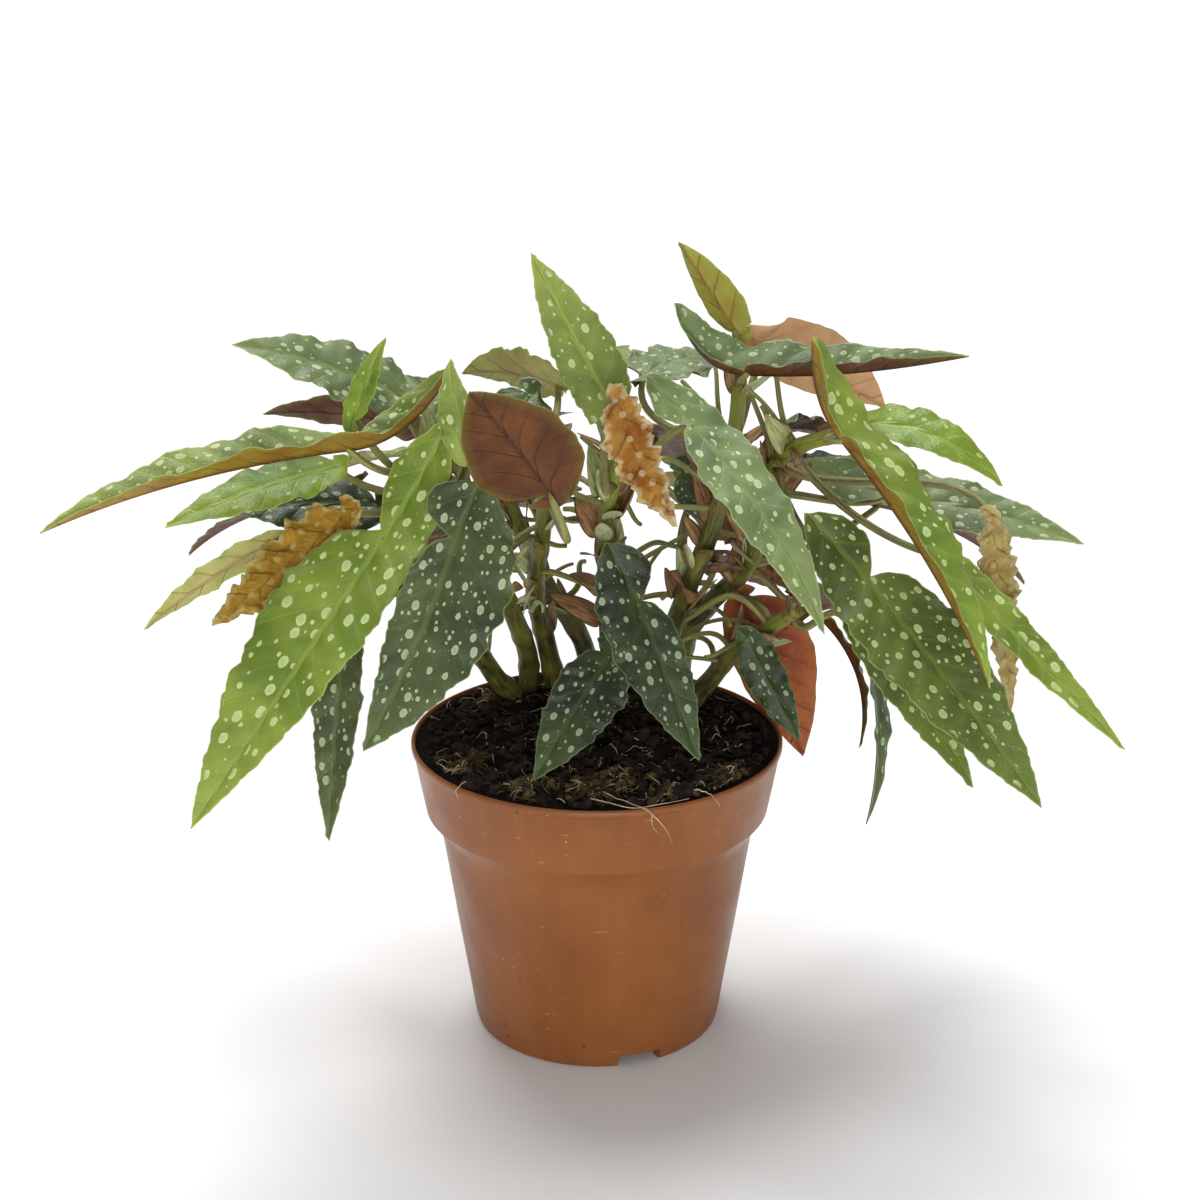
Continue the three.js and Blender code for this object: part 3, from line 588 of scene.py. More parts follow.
def small_spots(n, place, ragged, density, size):
    """1 on a small spot; the cells by chance hold none or one of a random size."""
    far, chance = n.cells(place, density * 2.3, 0.9)
    reach = n.remap(n.channel(chance, 1), 0.5, 1.0, 0.0, 0.24 * size)
    return n.remap(n.minus(n.plus(far, ragged), reach), 0.06, 0.0)


def leaf_upper(name, deep, pale, dot, rim, vein, density, size, roughness=0.4):
    """The spotted upper side; density is the number of large spots along a centimetre."""
    n = Nodes(name, roughness, 0.4)
    uv = n.uv()
    colour = n.mix(n.clouds(uv, 0.45, 4.0, 0.36, 0.66), deep, pale)
    line, saw = side_veins(n, 0.09)
    quilt = n.remap(saw, 0.0, 0.5)
    colour = n.cover(colour, deep, quilt, 0.22)
    colour = n.cover(colour, vein, line, 0.22)
    colour = n.cover(colour, pale, n.clouds(uv, 16.0, 3.0, 0.35, 0.7), 0.22)
    colour = n.cover(colour, vein, n.span("rib", 1.3, 0.2), 0.6)
    colour = n.cover(colour, vein, n.span("hub", 8.0, 0.5), 0.55)
    colour = n.cover(colour, vein, n.attribute("fresh"), 0.65)
    place = n.stretch(uv, (1.0, 0.72, 1.0), (0, 0, 0.25))
    ragged = n.times(n.noise(uv, 7.0, 3.0), 0.12)
    gap = large_spots(n, place, ragged, density, size)
    small = n.times(small_spots(n, place, ragged, density, size), n.remap(gap, 0.1, 0.16))
    clear = n.times(n.span("rim", 0.7, 1.8), n.span("rib", 0.6, 1.5))
    shown = n.times(n.math("MAXIMUM", n.remap(gap, 0.03, -0.015), small), clear)
    strength = n.minus(0.9, n.times(n.remap(gap, -0.03, -0.1), 0.2))
    colour = n.mix(n.times(shown, strength), colour, dot)
    colour = n.cover(colour, rim, n.span("rim", 0.55, 0.15), 0.6)
    height = n.minus(n.times(quilt, 0.5), n.times(line, 0.12))
    height = n.plus(height, n.times(n.noise(uv, 20.0, 4.0), 0.35))
    height = n.plus(height, n.times(shown, 0.15))
    rough = n.remap(n.noise(uv, 6.0, 3.0), 0.3, 0.7, roughness - 0.07, roughness + 0.14)
    return n.finish(colour, n.bump(height, 0.0008, 0.9), rough)


def leaf_under(name, deep, pale, vein, rim, halo):
    """The plain underside: raised dark veins, and the colour halo along the margin."""
    n = Nodes(name, 0.5, 0.35)
    uv = n.uv()
    colour = n.mix(n.clouds(uv, 0.6, 5.0, 0.36, 0.66), deep, pale)
    away = n.plus(n.attribute("rim"), n.times(n.noise(uv, 1.2, 3.0), 5.0))
    colour = n.cover(colour, halo, n.remap(away, 6.5, 2.5), 0.75)
    line, saw = side_veins(n, 0.07)
    line = n.times(line, n.span("rib", 13.0, 2.0, 0.15, 1.0))
    colour = n.cover(colour, pale, n.remap(saw, 0.0, 0.5), 0.2)
    net, _ = n.cells(uv, 4.5)
    colour = n.cover(colour, deep, n.remap(net, 0.25, 0.6), 0.2)
    colour = n.cover(colour, vein, line, 0.3)
    colour = n.cover(colour, vein, n.span("rib", 1.1, 0.3), 0.6)
    colour = n.cover(colour, rim, n.span("rim", 0.8, 0.2), 0.7)
    height = n.plus(n.times(line, 0.5), n.times(n.noise(uv, 16.0, 4.0), 0.45))
    rough = n.remap(n.noise(uv, 5.0, 3.0), 0.3, 0.7, 0.42, 0.62)
    return n.finish(colour, n.bump(height, 0.0008, 0.9), rough)


def leaf_dry(name, deep, pale, burnt, fleck):
    """A withered blade: scorched patches and veins, and pale flecks and margin."""
    n = Nodes(name, 0.7, 0.25)
    uv = n.uv()
    colour = n.mix(n.clouds(uv, 1.1, 5.0, 0.34, 0.66, 0.65), deep, pale)
    line, _ = side_veins(n, 0.1, 0.6)
    colour = n.cover(colour, burnt, line, 0.5)
    colour = n.cover(colour, burnt, n.clouds(uv, 1.7, 5.0, 0.52, 0.68, 0.7), 0.7)
    far, _ = n.cells(uv, 1.9, 0.6)
    colour = n.cover(colour, fleck, n.times(n.remap(far, 0.22, 0.14), n.span("rim", 1.0, 2.0)), 0.55)
    colour = n.mix(n.times(n.span("rim", 2.6, 0.4), n.clouds(uv, 2.5, 4.0, 0.3, 0.62)), colour, fleck)
    height = n.plus(n.noise(uv, 6.0, 6.0, 0.75), n.times(line, 0.3))
    return n.finish(colour, n.bump(height, 0.002, 1.0))


def stem(name, deep, pale, fleck, young, ring):
    """A cane or stalk: streaks along it, flecks, scars at its joints, and a younger upper end."""
    n = Nodes(name, 0.42, 0.4)
    uv = n.uv()
    stretched = n.stretch(uv, (1.0, 0.15, 1.0))
    streak = n.clouds(stretched, 5.0, 5.0, 0.36, 0.64)
    colour = n.mix(streak, deep, pale)
    colour = n.cover(colour, young, n.clouds(uv, 0.7, 4.0, 0.42, 0.62), 0.32)
    colour = n.mix(n.attribute("fresh"), colour, young)
    far, _ = n.cells(stretched, 4.2)
    colour = n.cover(colour, fleck, n.remap(far, 0.16, 0.08), 0.55)
    colour = n.cover(colour, ring, n.attribute("joint"), 0.7)
    height = n.plus(streak, n.times(n.noise(uv, 9.0, 4.0), 0.8))
    return n.finish(colour, n.bump(height, 0.0005, 0.9))


def bract(name, deep, pale, edge):
    """A papery bract: fine streaks along it and a darker edge."""
    n = Nodes(name, 0.6, 0.3)
    stretched = n.stretch(n.uv(), (1.0, 0.2, 1.0))
    colour = n.mix(n.clouds(stretched, 9.0, 4.0, 0.35, 0.65), deep, pale)
    colour = n.mix(n.span("rim", 0.6, 0.1), colour, edge)
    return n.finish(colour, n.bump(n.noise(stretched, 14.0, 4.0), 0.0005, 1.0))


def pot_plastic():
    """Terracotta-brown plastic: faint streaks, a dusty rim, dark and pale specks, thin scratches."""
    n = Nodes("pot_plastic", 0.4, 0.4)
    place = n.place()
    base = n.mix(n.clouds(place, 26.0, 4.0, 0.3, 0.7), (124, 70, 27), (138, 81, 33))
    streak = n.clouds(n.stretch(place, (1.0, 1.0, 0.06)), 160.0, 3.0, 0.45, 0.75)
    base = n.cover(base, (160, 100, 52), streak, 0.14)
    near_rim = n.remap(n.node("SeparateXYZ", Vector=place).outputs[2], 0.082, 0.099)
    dusty = n.times(near_rim, n.clouds(place, 70.0, 5.0, 0.45, 0.75, 0.7))
    base = n.cover(base, (106, 60, 30), dusty, 0.45)
    for density, cutoff, size, tone, channel in (
        (240.0, 0.945, 0.16, (60, 36, 22), 1),
        (330.0, 0.975, 0.12, (206, 158, 118), 2),
    ):
        far, chance = n.cells(place, density, flat=False)
        chance = n.plus(n.channel(chance, channel), n.times(near_rim, 0.07))
        mark = n.times(n.remap(far, size, size * 0.6), n.remap(chance, cutoff, cutoff + 0.01))
        base = n.cover(base, tone, mark, 0.85)
    scratch = n.stretch(place, (0.05, 1.0, 1.0), (0.3, 0.9, 0.2))
    base = n.cover(base, (196, 140, 104), n.clouds(scratch, 700.0, 2.0, 0.69, 0.73), 0.35)
    rough = n.remap(n.noise(place, 60.0, 4.0), 0.3, 0.7, 0.33, 0.47)
    return n.finish(base, n.bump(n.noise(place, 700.0, 3.0), 0.0002, 0.6), rough)


def peat_surface():
    n = Nodes("peat_surface", 0.95, 0.15)
    place = n.place()
    grain = n.noise(place, 520.0, 6.0, 0.75)
    clod = n.noise(place, 110.0, 5.0, 0.65)
    colour = n.mix(n.remap(clod, 0.38, 0.7), (13, 10, 9), (38, 29, 24))
    colour = n.cover(colour, (74, 58, 46), n.remap(grain, 0.56, 0.72), 0.4)
    return n.finish(colour, n.bump(n.plus(n.times(clod, 2.0), grain), 0.0025, 1.0))


def crumb(name, deep, pale, scale=300.0):
    """Mottled stuff that lies on the peat; scale is how fine it is."""
    n = Nodes(name, 0.9, 0.2)
    place = n.place()
    colour = n.mix(n.clouds(place, scale, 5.0, 0.35, 0.68, 0.7), deep, pale)
    return n.finish(colour, n.bump(n.noise(place, scale * 2, 4.0, 0.7), 0.001, 1.0))


def floor_material():
    n = Nodes("floor", 0.9, 0.1)
    return n.finish(n.mix(n.noise(n.place(), 3.0, 2.0), (0.87, 0.87, 0.87, 1), (0.89, 0.89, 0.89, 1)))


# the two greens, the spots, the margin, the veins, the large spots along a centimetre, the scale
# of their size, and the roughness of a glossier leaf
UPPER_COLOURS = {
    "bright": ((94, 118, 28), (136, 156, 54), (198, 214, 146), (180, 188, 106), (146, 168, 70), 1.6, 1.0),
    "dark": ((42, 55, 26), (78, 92, 46), (172, 188, 146), (140, 148, 90), (94, 110, 58), 2.15, 1.0),
    "deep": ((22, 33, 14), (50, 63, 28), (152, 170, 130), (112, 124, 76), (64, 82, 36), 2.2, 0.95, 0.34),
    "olive": ((56, 72, 20), (98, 114, 40), (182, 198, 134), (150, 164, 84), (110, 130, 48), 2.1, 0.98),
    "mid": ((54, 72, 34), (92, 112, 56), (176, 194, 146), (168, 176, 132), (104, 124, 66), 2.1, 1.0),
    "grey": ((88, 106, 62), (126, 144, 90), (196, 210, 164), (172, 184, 130), (134, 152, 88), 2.0, 0.95),
    "light": ((96, 118, 40), (142, 158, 70), (204, 214, 154), (186, 190, 112), (156, 172, 78), 1.95, 0.92),
    "young": ((84, 114, 22), (128, 154, 44), (184, 200, 116), (168, 170, 76), (144, 166, 58), 1.9, 0.6, 0.32),
    "shade": ((44, 58, 28), (78, 94, 46), (168, 186, 140), (168, 176, 132), (86, 102, 54), 2.1, 1.0),
}
# the two browns, the veins, the margin, the halo inside it
UNDER_COLOURS = {
    "rust": ((72, 36, 5), (102, 58, 12), (42, 20, 6), (120, 104, 40), (92, 80, 18)),
    "red": ((132, 54, 36), (172, 98, 42), (104, 38, 26), (144, 94, 48), (160, 98, 38)),
    "plum": ((86, 52, 38), (120, 80, 54), (66, 38, 28), (132, 112, 66), (114, 94, 48)),
    "amber": ((134, 92, 28), (150, 126, 40), (116, 72, 26), (166, 158, 72), (134, 144, 46)),
    "olive": ((146, 128, 46), (158, 156, 62), (128, 100, 40), (160, 164, 80), (142, 156, 58)),
    "pink": ((200, 146, 104), (220, 178, 130), (178, 122, 86), (192, 160, 106), (208, 166, 112)),
    "pale": ((166, 156, 90), (190, 186, 118), (158, 132, 86), (176, 184, 108), (160, 174, 84)),
}
# the two browns, the scorched patches, the flecks
DRY_COLOURS = {
    "gold": ((180, 130, 36), (208, 168, 68), (140, 92, 26), (226, 210, 130)),
    "straw": ((178, 150, 82), (208, 186, 114), (142, 106, 56), (222, 206, 148)),
    "tan": ((164, 98, 26), (204, 152, 74), (118, 64, 18), (238, 216, 164)),
    "brown": ((112, 68, 40), (154, 104, 64), (74, 42, 26), (176, 136, 92)),
}
# the two tones, the edge
BRACT_COLOURS = {
    "pale": ((148, 160, 104), (190, 200, 156), (172, 158, 118)),
    "mint": ((140, 148, 88), (184, 190, 132), (166, 158, 106)),
    "dark": ((98, 70, 42), (158, 118, 78), (76, 50, 30)),
    "tan": ((132, 96, 58), (184, 146, 100), (104, 68, 40)),
    "brown": ((112, 86, 54), (164, 132, 90), (96, 68, 42)),
}


def make_all(make, prefix, rows):
    """One material for each row of colours, by the row's key."""
    return {key: make(prefix + key, *row) for key, row in rows.items()}


UPPER = make_all(leaf_upper, "upper_", UPPER_COLOURS)
UNDER = make_all(leaf_under, "under_", UNDER_COLOURS)
DRY = make_all(leaf_dry, "dry_", DRY_COLOURS)
BRACT = make_all(bract, "bract_", BRACT_COLOURS)
STALK = stem("stalk", (98, 92, 48), (134, 126, 72), (160, 150, 100), (150, 154, 80), (132, 84, 60))
CANE = stem("cane", (50, 50, 22), (88, 87, 38), (132, 120, 68), (142, 148, 58), (112, 82, 44))
POT = pot_plastic()
PEAT = peat_surface()
MOSS = crumb("moss", (48, 40, 24), (104, 88, 52))
CHIP = crumb("peat_chip", (14, 11, 9), (48, 37, 29))
PALE_CHIP = crumb("pale_chip", (92, 76, 58), (168, 150, 124))
ROOT = crumb("root", (158, 132, 104), (214, 194, 164), 120.0)
DARK_ROOT = crumb("dark_root", (54, 42, 32), (104, 84, 60), 120.0)

UPPER_OF_LOOK = {"rust": "shade", "red": "shade"}
DEEP_LEAVES = (
    "leaf_front_small_dark", "leaf_front_middle_dark", "leaf_inner_dark", "leaf_left_back_dark",
    "leaf_right_small",
)
OLIVE_LEAVES = ("leaf_front_right_big", "leaf_front_right_low")
UPPER_OF_LEAF = dict.fromkeys(DEEP_LEAVES, "deep") | dict.fromkeys(OLIVE_LEAVES, "olive")
UNDER_OF_LOOK = {"bright": "olive", "light": "olive", "young": "olive", "red": "red"}
UNDER_OF_LEAF = {
    "leaf_top_right_underside": "pink",
    "leaf_back_left_high": "plum",
    "leaf_back_right_high": "plum",
    "leaf_left_narrow": "pale",
    "leaf_top_back_left": "pale",
    "leaf_far_left_folded": "amber",
    "leaf_right_folded": "amber",
}
DRY_OF_LEAF = {
    "leaf_left_dry": "gold",
    "leaf_right_dry": "straw",
    "leaf_dry_middle": "tan",
    "leaf_inner_withered": "brown",
}


def leaf_materials(name, look):
    """A leaf's upper side, its underside and its stalk."""
    if look == "dry":
        blade = DRY[DRY_OF_LEAF[name]]
        return [blade, blade, STALK]
    upper = UPPER_OF_LEAF.get(name) or UPPER_OF_LOOK.get(look, look)
    under = UNDER_OF_LEAF.get(name) or UNDER_OF_LOOK.get(look, "rust")
    return [UPPER[upper], UNDER[under], STALK]


# ---- leaves ------------------------------------------------------------------------------------
class Midrib:
    """The midrib of a blade, from the end of its ear at -share to its tip at 1."""

    def __init__(self, joint, tip, ear, facing, arch, sway):
        joint, tip, ear, facing = (np.array(v, float) for v in (joint, tip, ear, facing))
        self.joint = joint
        self.chord = tip - joint
        self.length = np.linalg.norm(self.chord)
        along = self.chord / self.length
        self.up = unit(facing - along * (facing @ along))
        self.bend = self.up * arch + np.cross(self.up, along) * sway
        self.start = unit(self.chord + self.bend * 4 * self.length)
        back = ear - joint
        if np.linalg.norm(back) < EAR_MIN_LENGTH:
            ear = joint + unit(back) * EAR_MIN_LENGTH
        self.ear = ear
        self.ear_length = np.linalg.norm(ear - joint)
        self.share = self.ear_length / self.length

    def at(self, s):
        s = np.asarray(s)[:, None]
        blade = self.joint + self.chord * s + self.bend * (4 * self.length * s * (1 - s))
        q = -s * self.length / self.ear_length
        turn = self.joint - self.start * self.ear_length * 0.5
        back = (1 - q) ** 2 * self.joint + 2 * q * (1 - q) * turn + q**2 * self.ear
        return np.where(s >= 0, blade, back)

    def frame(self, s, step=2e-3):
        """The blade's left and its upper side's normal, at each place along it."""
        ahead = self.at(np.minimum(1, s + step))
        behind = self.at(np.maximum(-self.share, s - step))
        tangent = unit_rows(ahead - behind)
        left = unit_rows(np.cross(self.up, tangent))
        return left, np.cross(tangent, left)


def crinkle(along, across, rng):
    """Irregular creases of a dried blade, in millimetres."""
    x, y = np.meshgrid(along, across * 8, indexing="ij")
    total = 0
    for size, height in ((21, 1.2), (11, 1.0), (6.5, 0.75), (4.2, 0.5), (3.1, 0.3)):
        a, b, c, d = rng.uniform(0, 2 * math.pi, 4)
        bent = x + 0.3 * size * np.sin(y / size * 3 + c)
        wave = np.sin(2 * math.pi * (bent * math.cos(a) + y * math.sin(a)) / size + b)
        total = total + height * (1 - 2 * np.abs(wave)) * (0.6 + 0.4 * np.sin(x / size + d))
    return total


def ragged_margin(half, q, full, starts, deep):
    """Shallow lobes and small forward teeth along a margin."""
    lobe = 2 * math.pi * q * full / LOBE_SPACING + starts[0]
    tooth = 2 * math.pi * q * full / TOOTH_SPACING + starts[1]
    wave = 0.045 * deep * np.sin(lobe + 0.6 * np.sin(lobe)) + 0.02 * np.sin(0.43 * lobe + 1.7)
    teeth = 0.2 * deep * np.sin(tooth + 0.8 * np.sin(tooth))
    return np.maximum(half * (1 + wave) + teeth * np.clip(half / 6, 0, 1), MIN_HALF_WIDTH)


def half_widths(rib, narrow, wide, q, s, waves, deep):
    """How far the wide and the narrow side reach out from the midrib, along the blade."""
    wide_half = wide * swell(q, *WIDE_SWELL)
    narrow_half = np.maximum(narrow * swell(np.maximum(0, s), *NARROW_SWELL), NOTCH_HALF_WIDTH)
    lobe = np.sin(math.pi * np.clip(-s / rib.share, 0, 1))
    ear_half = NOTCH_HALF_WIDTH + wide * EAR_INNER_SHARE * lobe
    narrow_half = np.where(s < 0, np.minimum(ear_half, wide_half), narrow_half)
    narrow_half = narrow_half * np.minimum(1, np.minimum(q, 1 - q) / 0.02)
    full = rib.length + rib.ear_length
    wide_half = ragged_margin(wide_half, q, full, waves[0:2], deep)
    narrow_half = ragged_margin(narrow_half, q, full, waves[3:5], deep)
    return wide_half[:, None], narrow_half[:, None]


def leaf_relief(q, t, reach, width, phase, waves):
    """Height of the margin's frill and of the puckers between the side veins, in millimetres."""
    q = q[:, None]
    edge = (reach / width) ** 2
    frill = FRILL_HEIGHT * np.sin(2 * math.pi * (q * FRILL_COUNT + np.sign(t) * 0.3) + waves[2]) * edge
    fine = FINE_FRILL_HEIGHT * np.sin(2 * math.pi * q * FINE_FRILL_COUNT + waves[5] + t) * edge
    inner = smooth(reach, 0.5, 3) * (1 - 0.6 * np.abs(t) ** 3)
    return frill + fine + PUCKER_HEIGHT * np.cos(2 * math.pi * phase) * inner


def stalk_path(cane, at, rib):
    path = cane_path(cane)
    where = at * (len(path) - 1)
    i = min(int(where), len(path) - 2)
    heart = path[i] + (path[i + 1] - path[i]) * (where - i)
    heading = unit(path[i + 1] - path[i])
    out = rib.joint - heart
    if at < 1:
        out = out - heading * (out @ heading)
    out = unit(out)
    begin = heart + out * (cane_radius(at) + GAP)
    end = rib.joint + rib.start * 1.0
    span = np.linalg.norm(end - begin)
    approach = rib.joint - rib.start * span * 0.25 - rib.up * span * 0.35
    path = cubic(begin, begin + out * span * 0.3, approach, end, STALK_RINGS)
    path[0] = heart + out * (cane_radius(at) - STALK_SUNK)
    return path


def build_leaf(row, seed):
    """One leaf: a thin blade of two skins, and the stalk that carries it."""
    name, cane, at, joint, tip, ear, facing, narrow, wide, fold, arch, sway, side, look = row
    rng = np.random.default_rng(seed)
    rib = Midrib(joint, tip, ear, facing, arch, sway)
    calm = name in CALM_LEAVES
    q = (1 - np.cos(np.linspace(0, math.pi, BLADE_ROWS))) / 2
    q = 0.35 * q + 0.65 * np.linspace(0, 1, BLADE_ROWS)
    s = q * (1 + rib.share) - rib.share
    t = np.linspace(-1, 1, BLADE_COLUMNS)
    t = np.sign(t) * (1 - (1 - np.abs(t)) ** 1.25)
    along = (s * rib.length)[:, None]

    waves = rng.uniform(0, 2 * math.pi, 6)
    deep = CALM_TEETH if calm else TEETH.get(look, COMMON_TEETH)
    wide_half, narrow_half = half_widths(rib, narrow, wide, q, s, waves, deep)
    half = np.where(t > 0, wide_half, narrow_half)
    reach = np.abs(t) * half
    width = max(wide, narrow)
    angle = math.radians(fold)
    phase = along / VEIN_SPACING - VEIN_SLOPE * reach / VEIN_SPACING
    phase = phase + np.where(t > 0, 0.0, 0.5) + rng.uniform()
    scale = min(1.0, width / FULL_RELIEF_WIDTH) * (CALM_RELIEF if calm else 1.0)
    groove = -GROOVE_DEPTH * np.exp(-((reach / 1.1) ** 2))
    surface = math.sin(angle) * reach - BLADE_CURL * reach**2 / width
    surface = surface + (leaf_relief(q, t, reach, width, phase, waves) + groove) * scale
    if look == "dry":
        surface = surface + 0.75 * crinkle(s * rib.length, t, rng) * smooth(reach, 0.2, 3)

    left, normal = (v[:, None, :] for v in rib.frame(s))
    middle = rib.at(s)[:, None, :] + (side * t * half * math.cos(angle))[:, :, None] * left
    middle = middle + surface[:, :, None] * normal
    ridge = RIDGE_HEIGHT * scale * np.exp(-((reach / 0.9) ** 2)) * smooth(1 - q, 0.02, 0.6)[:, None]
    skin = BLADE_SKIN * (0.35 + 0.65 * smooth(1 - np.abs(t), 0, 0.3))
    top = middle + skin[:, None] * normal
    low = middle - (skin + ridge)[:, :, None] * normal
    stalk = stalk_path(cane, at, rib)
    grow = np.linspace(0, 1, STALK_RINGS)
    radii = STALK_RADIUS * (1.12 - 0.3 * grow + 0.25 * np.exp(-((grow / 0.06) ** 2)))
    radii[-1] = STALK_TIP_RADIUS
    points = [top.reshape(-1, 3), low.reshape(-1, 3), tube(stalk, radii, STALK_SIDES)]

    upper, lower, wall = sheet_faces(BLADE_ROWS, BLADE_COLUMNS, flip=side > 0)
    stalk_faces = shifted(bar_faces(STALK_RINGS, STALK_SIDES), 2 * BLADE_ROWS * BLADE_COLUMNS)
    slots = [0] * len(upper) + [1] * len(lower) + [0] * len(wall) + [2] * len(stalk_faces)
    faces = upper + lower + wall + stalk_faces
    obj = make_object(name + "_fine", np.vstack(points), faces, leaf_materials(name, look), slots)

    def spread(blade, stalk_value):
        """A value at each point: the same on both skins, then along the stalk."""
        blade = np.broadcast_to(blade, reach.shape).ravel()
        return np.concatenate([blade, blade, np.repeat(stalk_value + 0 * grow, STALK_SIDES)])

    set_points(
        obj,
        rim=spread((1 - np.abs(t)) * half, FAR),
        rib=spread(reach, FAR),
        phase=spread(phase, 0.0),
        hub=spread(np.hypot(reach, along), FAR_FROM_HUB),
        fresh=spread(smooth(s, 0.45, 1.05)[:, None], 0.75 * grow**3),
        joint=spread(0.0, np.exp(-((grow / 0.05) ** 2))),
    )
    shift = rng.uniform(0, 40, 2)
    across = spread(t * half / 10 + shift[0], 0.0)
    height = spread(along / 10 + shift[1], grow * np.linalg.norm(stalk[-1] - stalk[0]) / 10 + shift[0])
    around = np.tile(np.arange(STALK_SIDES) / STALK_SIDES, STALK_RINGS)
    across[-len(around):] = around * 0.9 + shift[1]
    set_uv(obj, np.stack([across, height], axis=1))
    fix(obj, name)


# ---- canes -------------------------------------------------------------------------------------
def build_cane(name, seed):
    """A cane with swollen, scarred joints, and a younger upper end."""
    rng = np.random.default_rng(seed)
    path = even(cane_path(name), 90)
    t = np.linspace(0, 1, len(path))
    length = path_length(path)
    knots = np.arange(0.16, 0.98, KNOT_SPACING / length) + rng.uniform(-0.01, 0.01)
    knots = np.append(knots, 0.985)
    swelling = sum(np.exp(-(((t - k) * length / 2.2) ** 2)) for k in knots)
    scar = sum(np.exp(-(((t - k) * length / 0.9) ** 2)) for k in knots)
    radii = cane_radius(t) * (0.93 + 0.13 * np.minimum(1, swelling)) - 0.12 * np.minimum(1, scar)
    path = np.vstack([path, path[-1] + unit(path[-1] - path[-2]) * 0.9])
    radii = np.append(radii, radii[-1] * 0.45)
    rings = len(path)
    faces = bar_faces(rings, CANE_SIDES)
    obj = make_object(name + "_fine", tube(path, radii, CANE_SIDES), faces, [CANE])
    joint = np.repeat(np.append(np.minimum(1, scar), 1), CANE_SIDES)
    fresh = np.repeat(np.append(smooth(t, 0.55, 0.95), 1) * 0.85, CANE_SIDES)
    set_points(obj, joint=joint, fresh=fresh)
    around = np.tile(np.arange(CANE_SIDES) / CANE_SIDES * 2.0, rings)
    height = np.repeat(np.append(t, 1) * length / 10, CANE_SIDES)
    set_uv(obj, np.stack([around + seed, height], axis=1))
    fix(obj, name)


# ---- pot ---------------------------------------------------------------------------------------
def build_pot():
    """The pot as a turned profile, with its foot ring cut away at the drain notches."""
    foot = [(0.01, POT_FLOOR), (30, POT_FLOOR), (POT_FOOT_RADIUS, POT_FLOOR), (POT_FOOT_RADIUS, 0.2),
            (POT_FOOT_RADIUS + 0.2, 0)]
    profile = foot + POT_OUTSIDE + POT_INSIDE + [(0.01, 8)]
    angles = list(np.arange(0, 360, 2.0))
    for notch in NOTCH_ANGLES:
        for edge in (notch - NOTCH_HALF_ANGLE, notch + NOTCH_HALF_ANGLE):
            angles += [edge % 360, (edge + 0.15) % 360]
    angles = sorted(angles)
    points, height, count = [], len(profile), len(angles)
    for a in angles:
        cut = any(abs((a - notch + 180) % 360 - 180) < NOTCH_HALF_ANGLE - 0.01 for notch in NOTCH_ANGLES)
        for radius, z in profile:
            z = max(z, POT_FLOOR) if cut and radius > POT_FOOT_RADIUS - 1 else z
            points.append((radius * math.cos(math.radians(a)), radius * math.sin(math.radians(a)), z))
    faces = []
    for i in range(count):
        for j in range(height - 1):
            a = i * height + j
            b = ((i + 1) % count) * height + j
            faces.append((a, b, b + 1, a + 1))
    obj = make_object("pot_fine", points, faces, [POT])
    face_outward(obj, weld=0.00003)
    obj.data.set_sharp_from_angle(angle=math.radians(38))
    fix(obj, "pot")


# ---- peat --------------------------------------------------------------------------------------
def peat_height(x, y):
    r = np.hypot(x, y) / PEAT_RADIUS
    crown = PEAT_EDGE + PEAT_CROWN * np.sin(np.clip(1 - r, 0, 1) * math.pi / 2)
    lump = np.sin(x * 0.21 + 1.3) * np.cos(y * 0.26 - 0.4) + np.sin((x - y) * 0.37)
    rough = 0.55 * np.sin(x * 0.9 + 2.0 * np.sin(y * 0.5)) * np.cos(y * 0.8 + 1.7 * np.sin(x * 0.45))
    rough = rough + 0.3 * np.sin(x * 2.1 + y * 1.3) * np.cos(y * 2.4 - x * 0.9)
    return crown + (0.7 * lump + rough) * np.clip((1 - r) * 8, 0, 1)


def build_peat():
    """The peat's rough surface, closed below by a plain body that clears the pot."""
    rings, sides = PEAT_RINGS, PEAT_SIDES
    points = [(0, 0, float(peat_height(0.0, 0.0)))]
    for i in range(1, rings + 1):
        x, y = circle(PEAT_RADIUS * i / rings, sides)
        points += list(zip(x, y, peat_height(x, y)))
    for radius, z in PEAT_BODY:
        x, y = circle(radius, sides)
        points += list(zip(x, y, np.full(sides, z)))
    rings += len(PEAT_BODY)
    faces = [(0, 1 + j, 1 + (j + 1) % sides) for j in range(sides)]
    faces += shifted(grid_faces(rings, sides, closed=True, flip=True), 1)
    last = 1 + (rings - 1) * sides
    faces.append(tuple(range(last, last + sides)))
    obj = make_object("peat_fine", points, faces, [PEAT])
    face_outward(obj)
    fix(obj, "peat")


def anywhere(rng, reach):
    """A random place on the peat."""
    r = reach * math.sqrt(rng.uniform())
    a = rng.uniform(0, 2 * math.pi)
    return r * math.cos(a), r * math.sin(a)


def ball():
    shape = bmesh.new()
    bmesh.ops.create_icosphere(shape, subdivisions=2, radius=1.0)
    points = np.array([v.co for v in shape.verts])
    faces = [tuple(v.index for v in f.verts) for f in shape.faces]
    shape.free()
    return points, faces


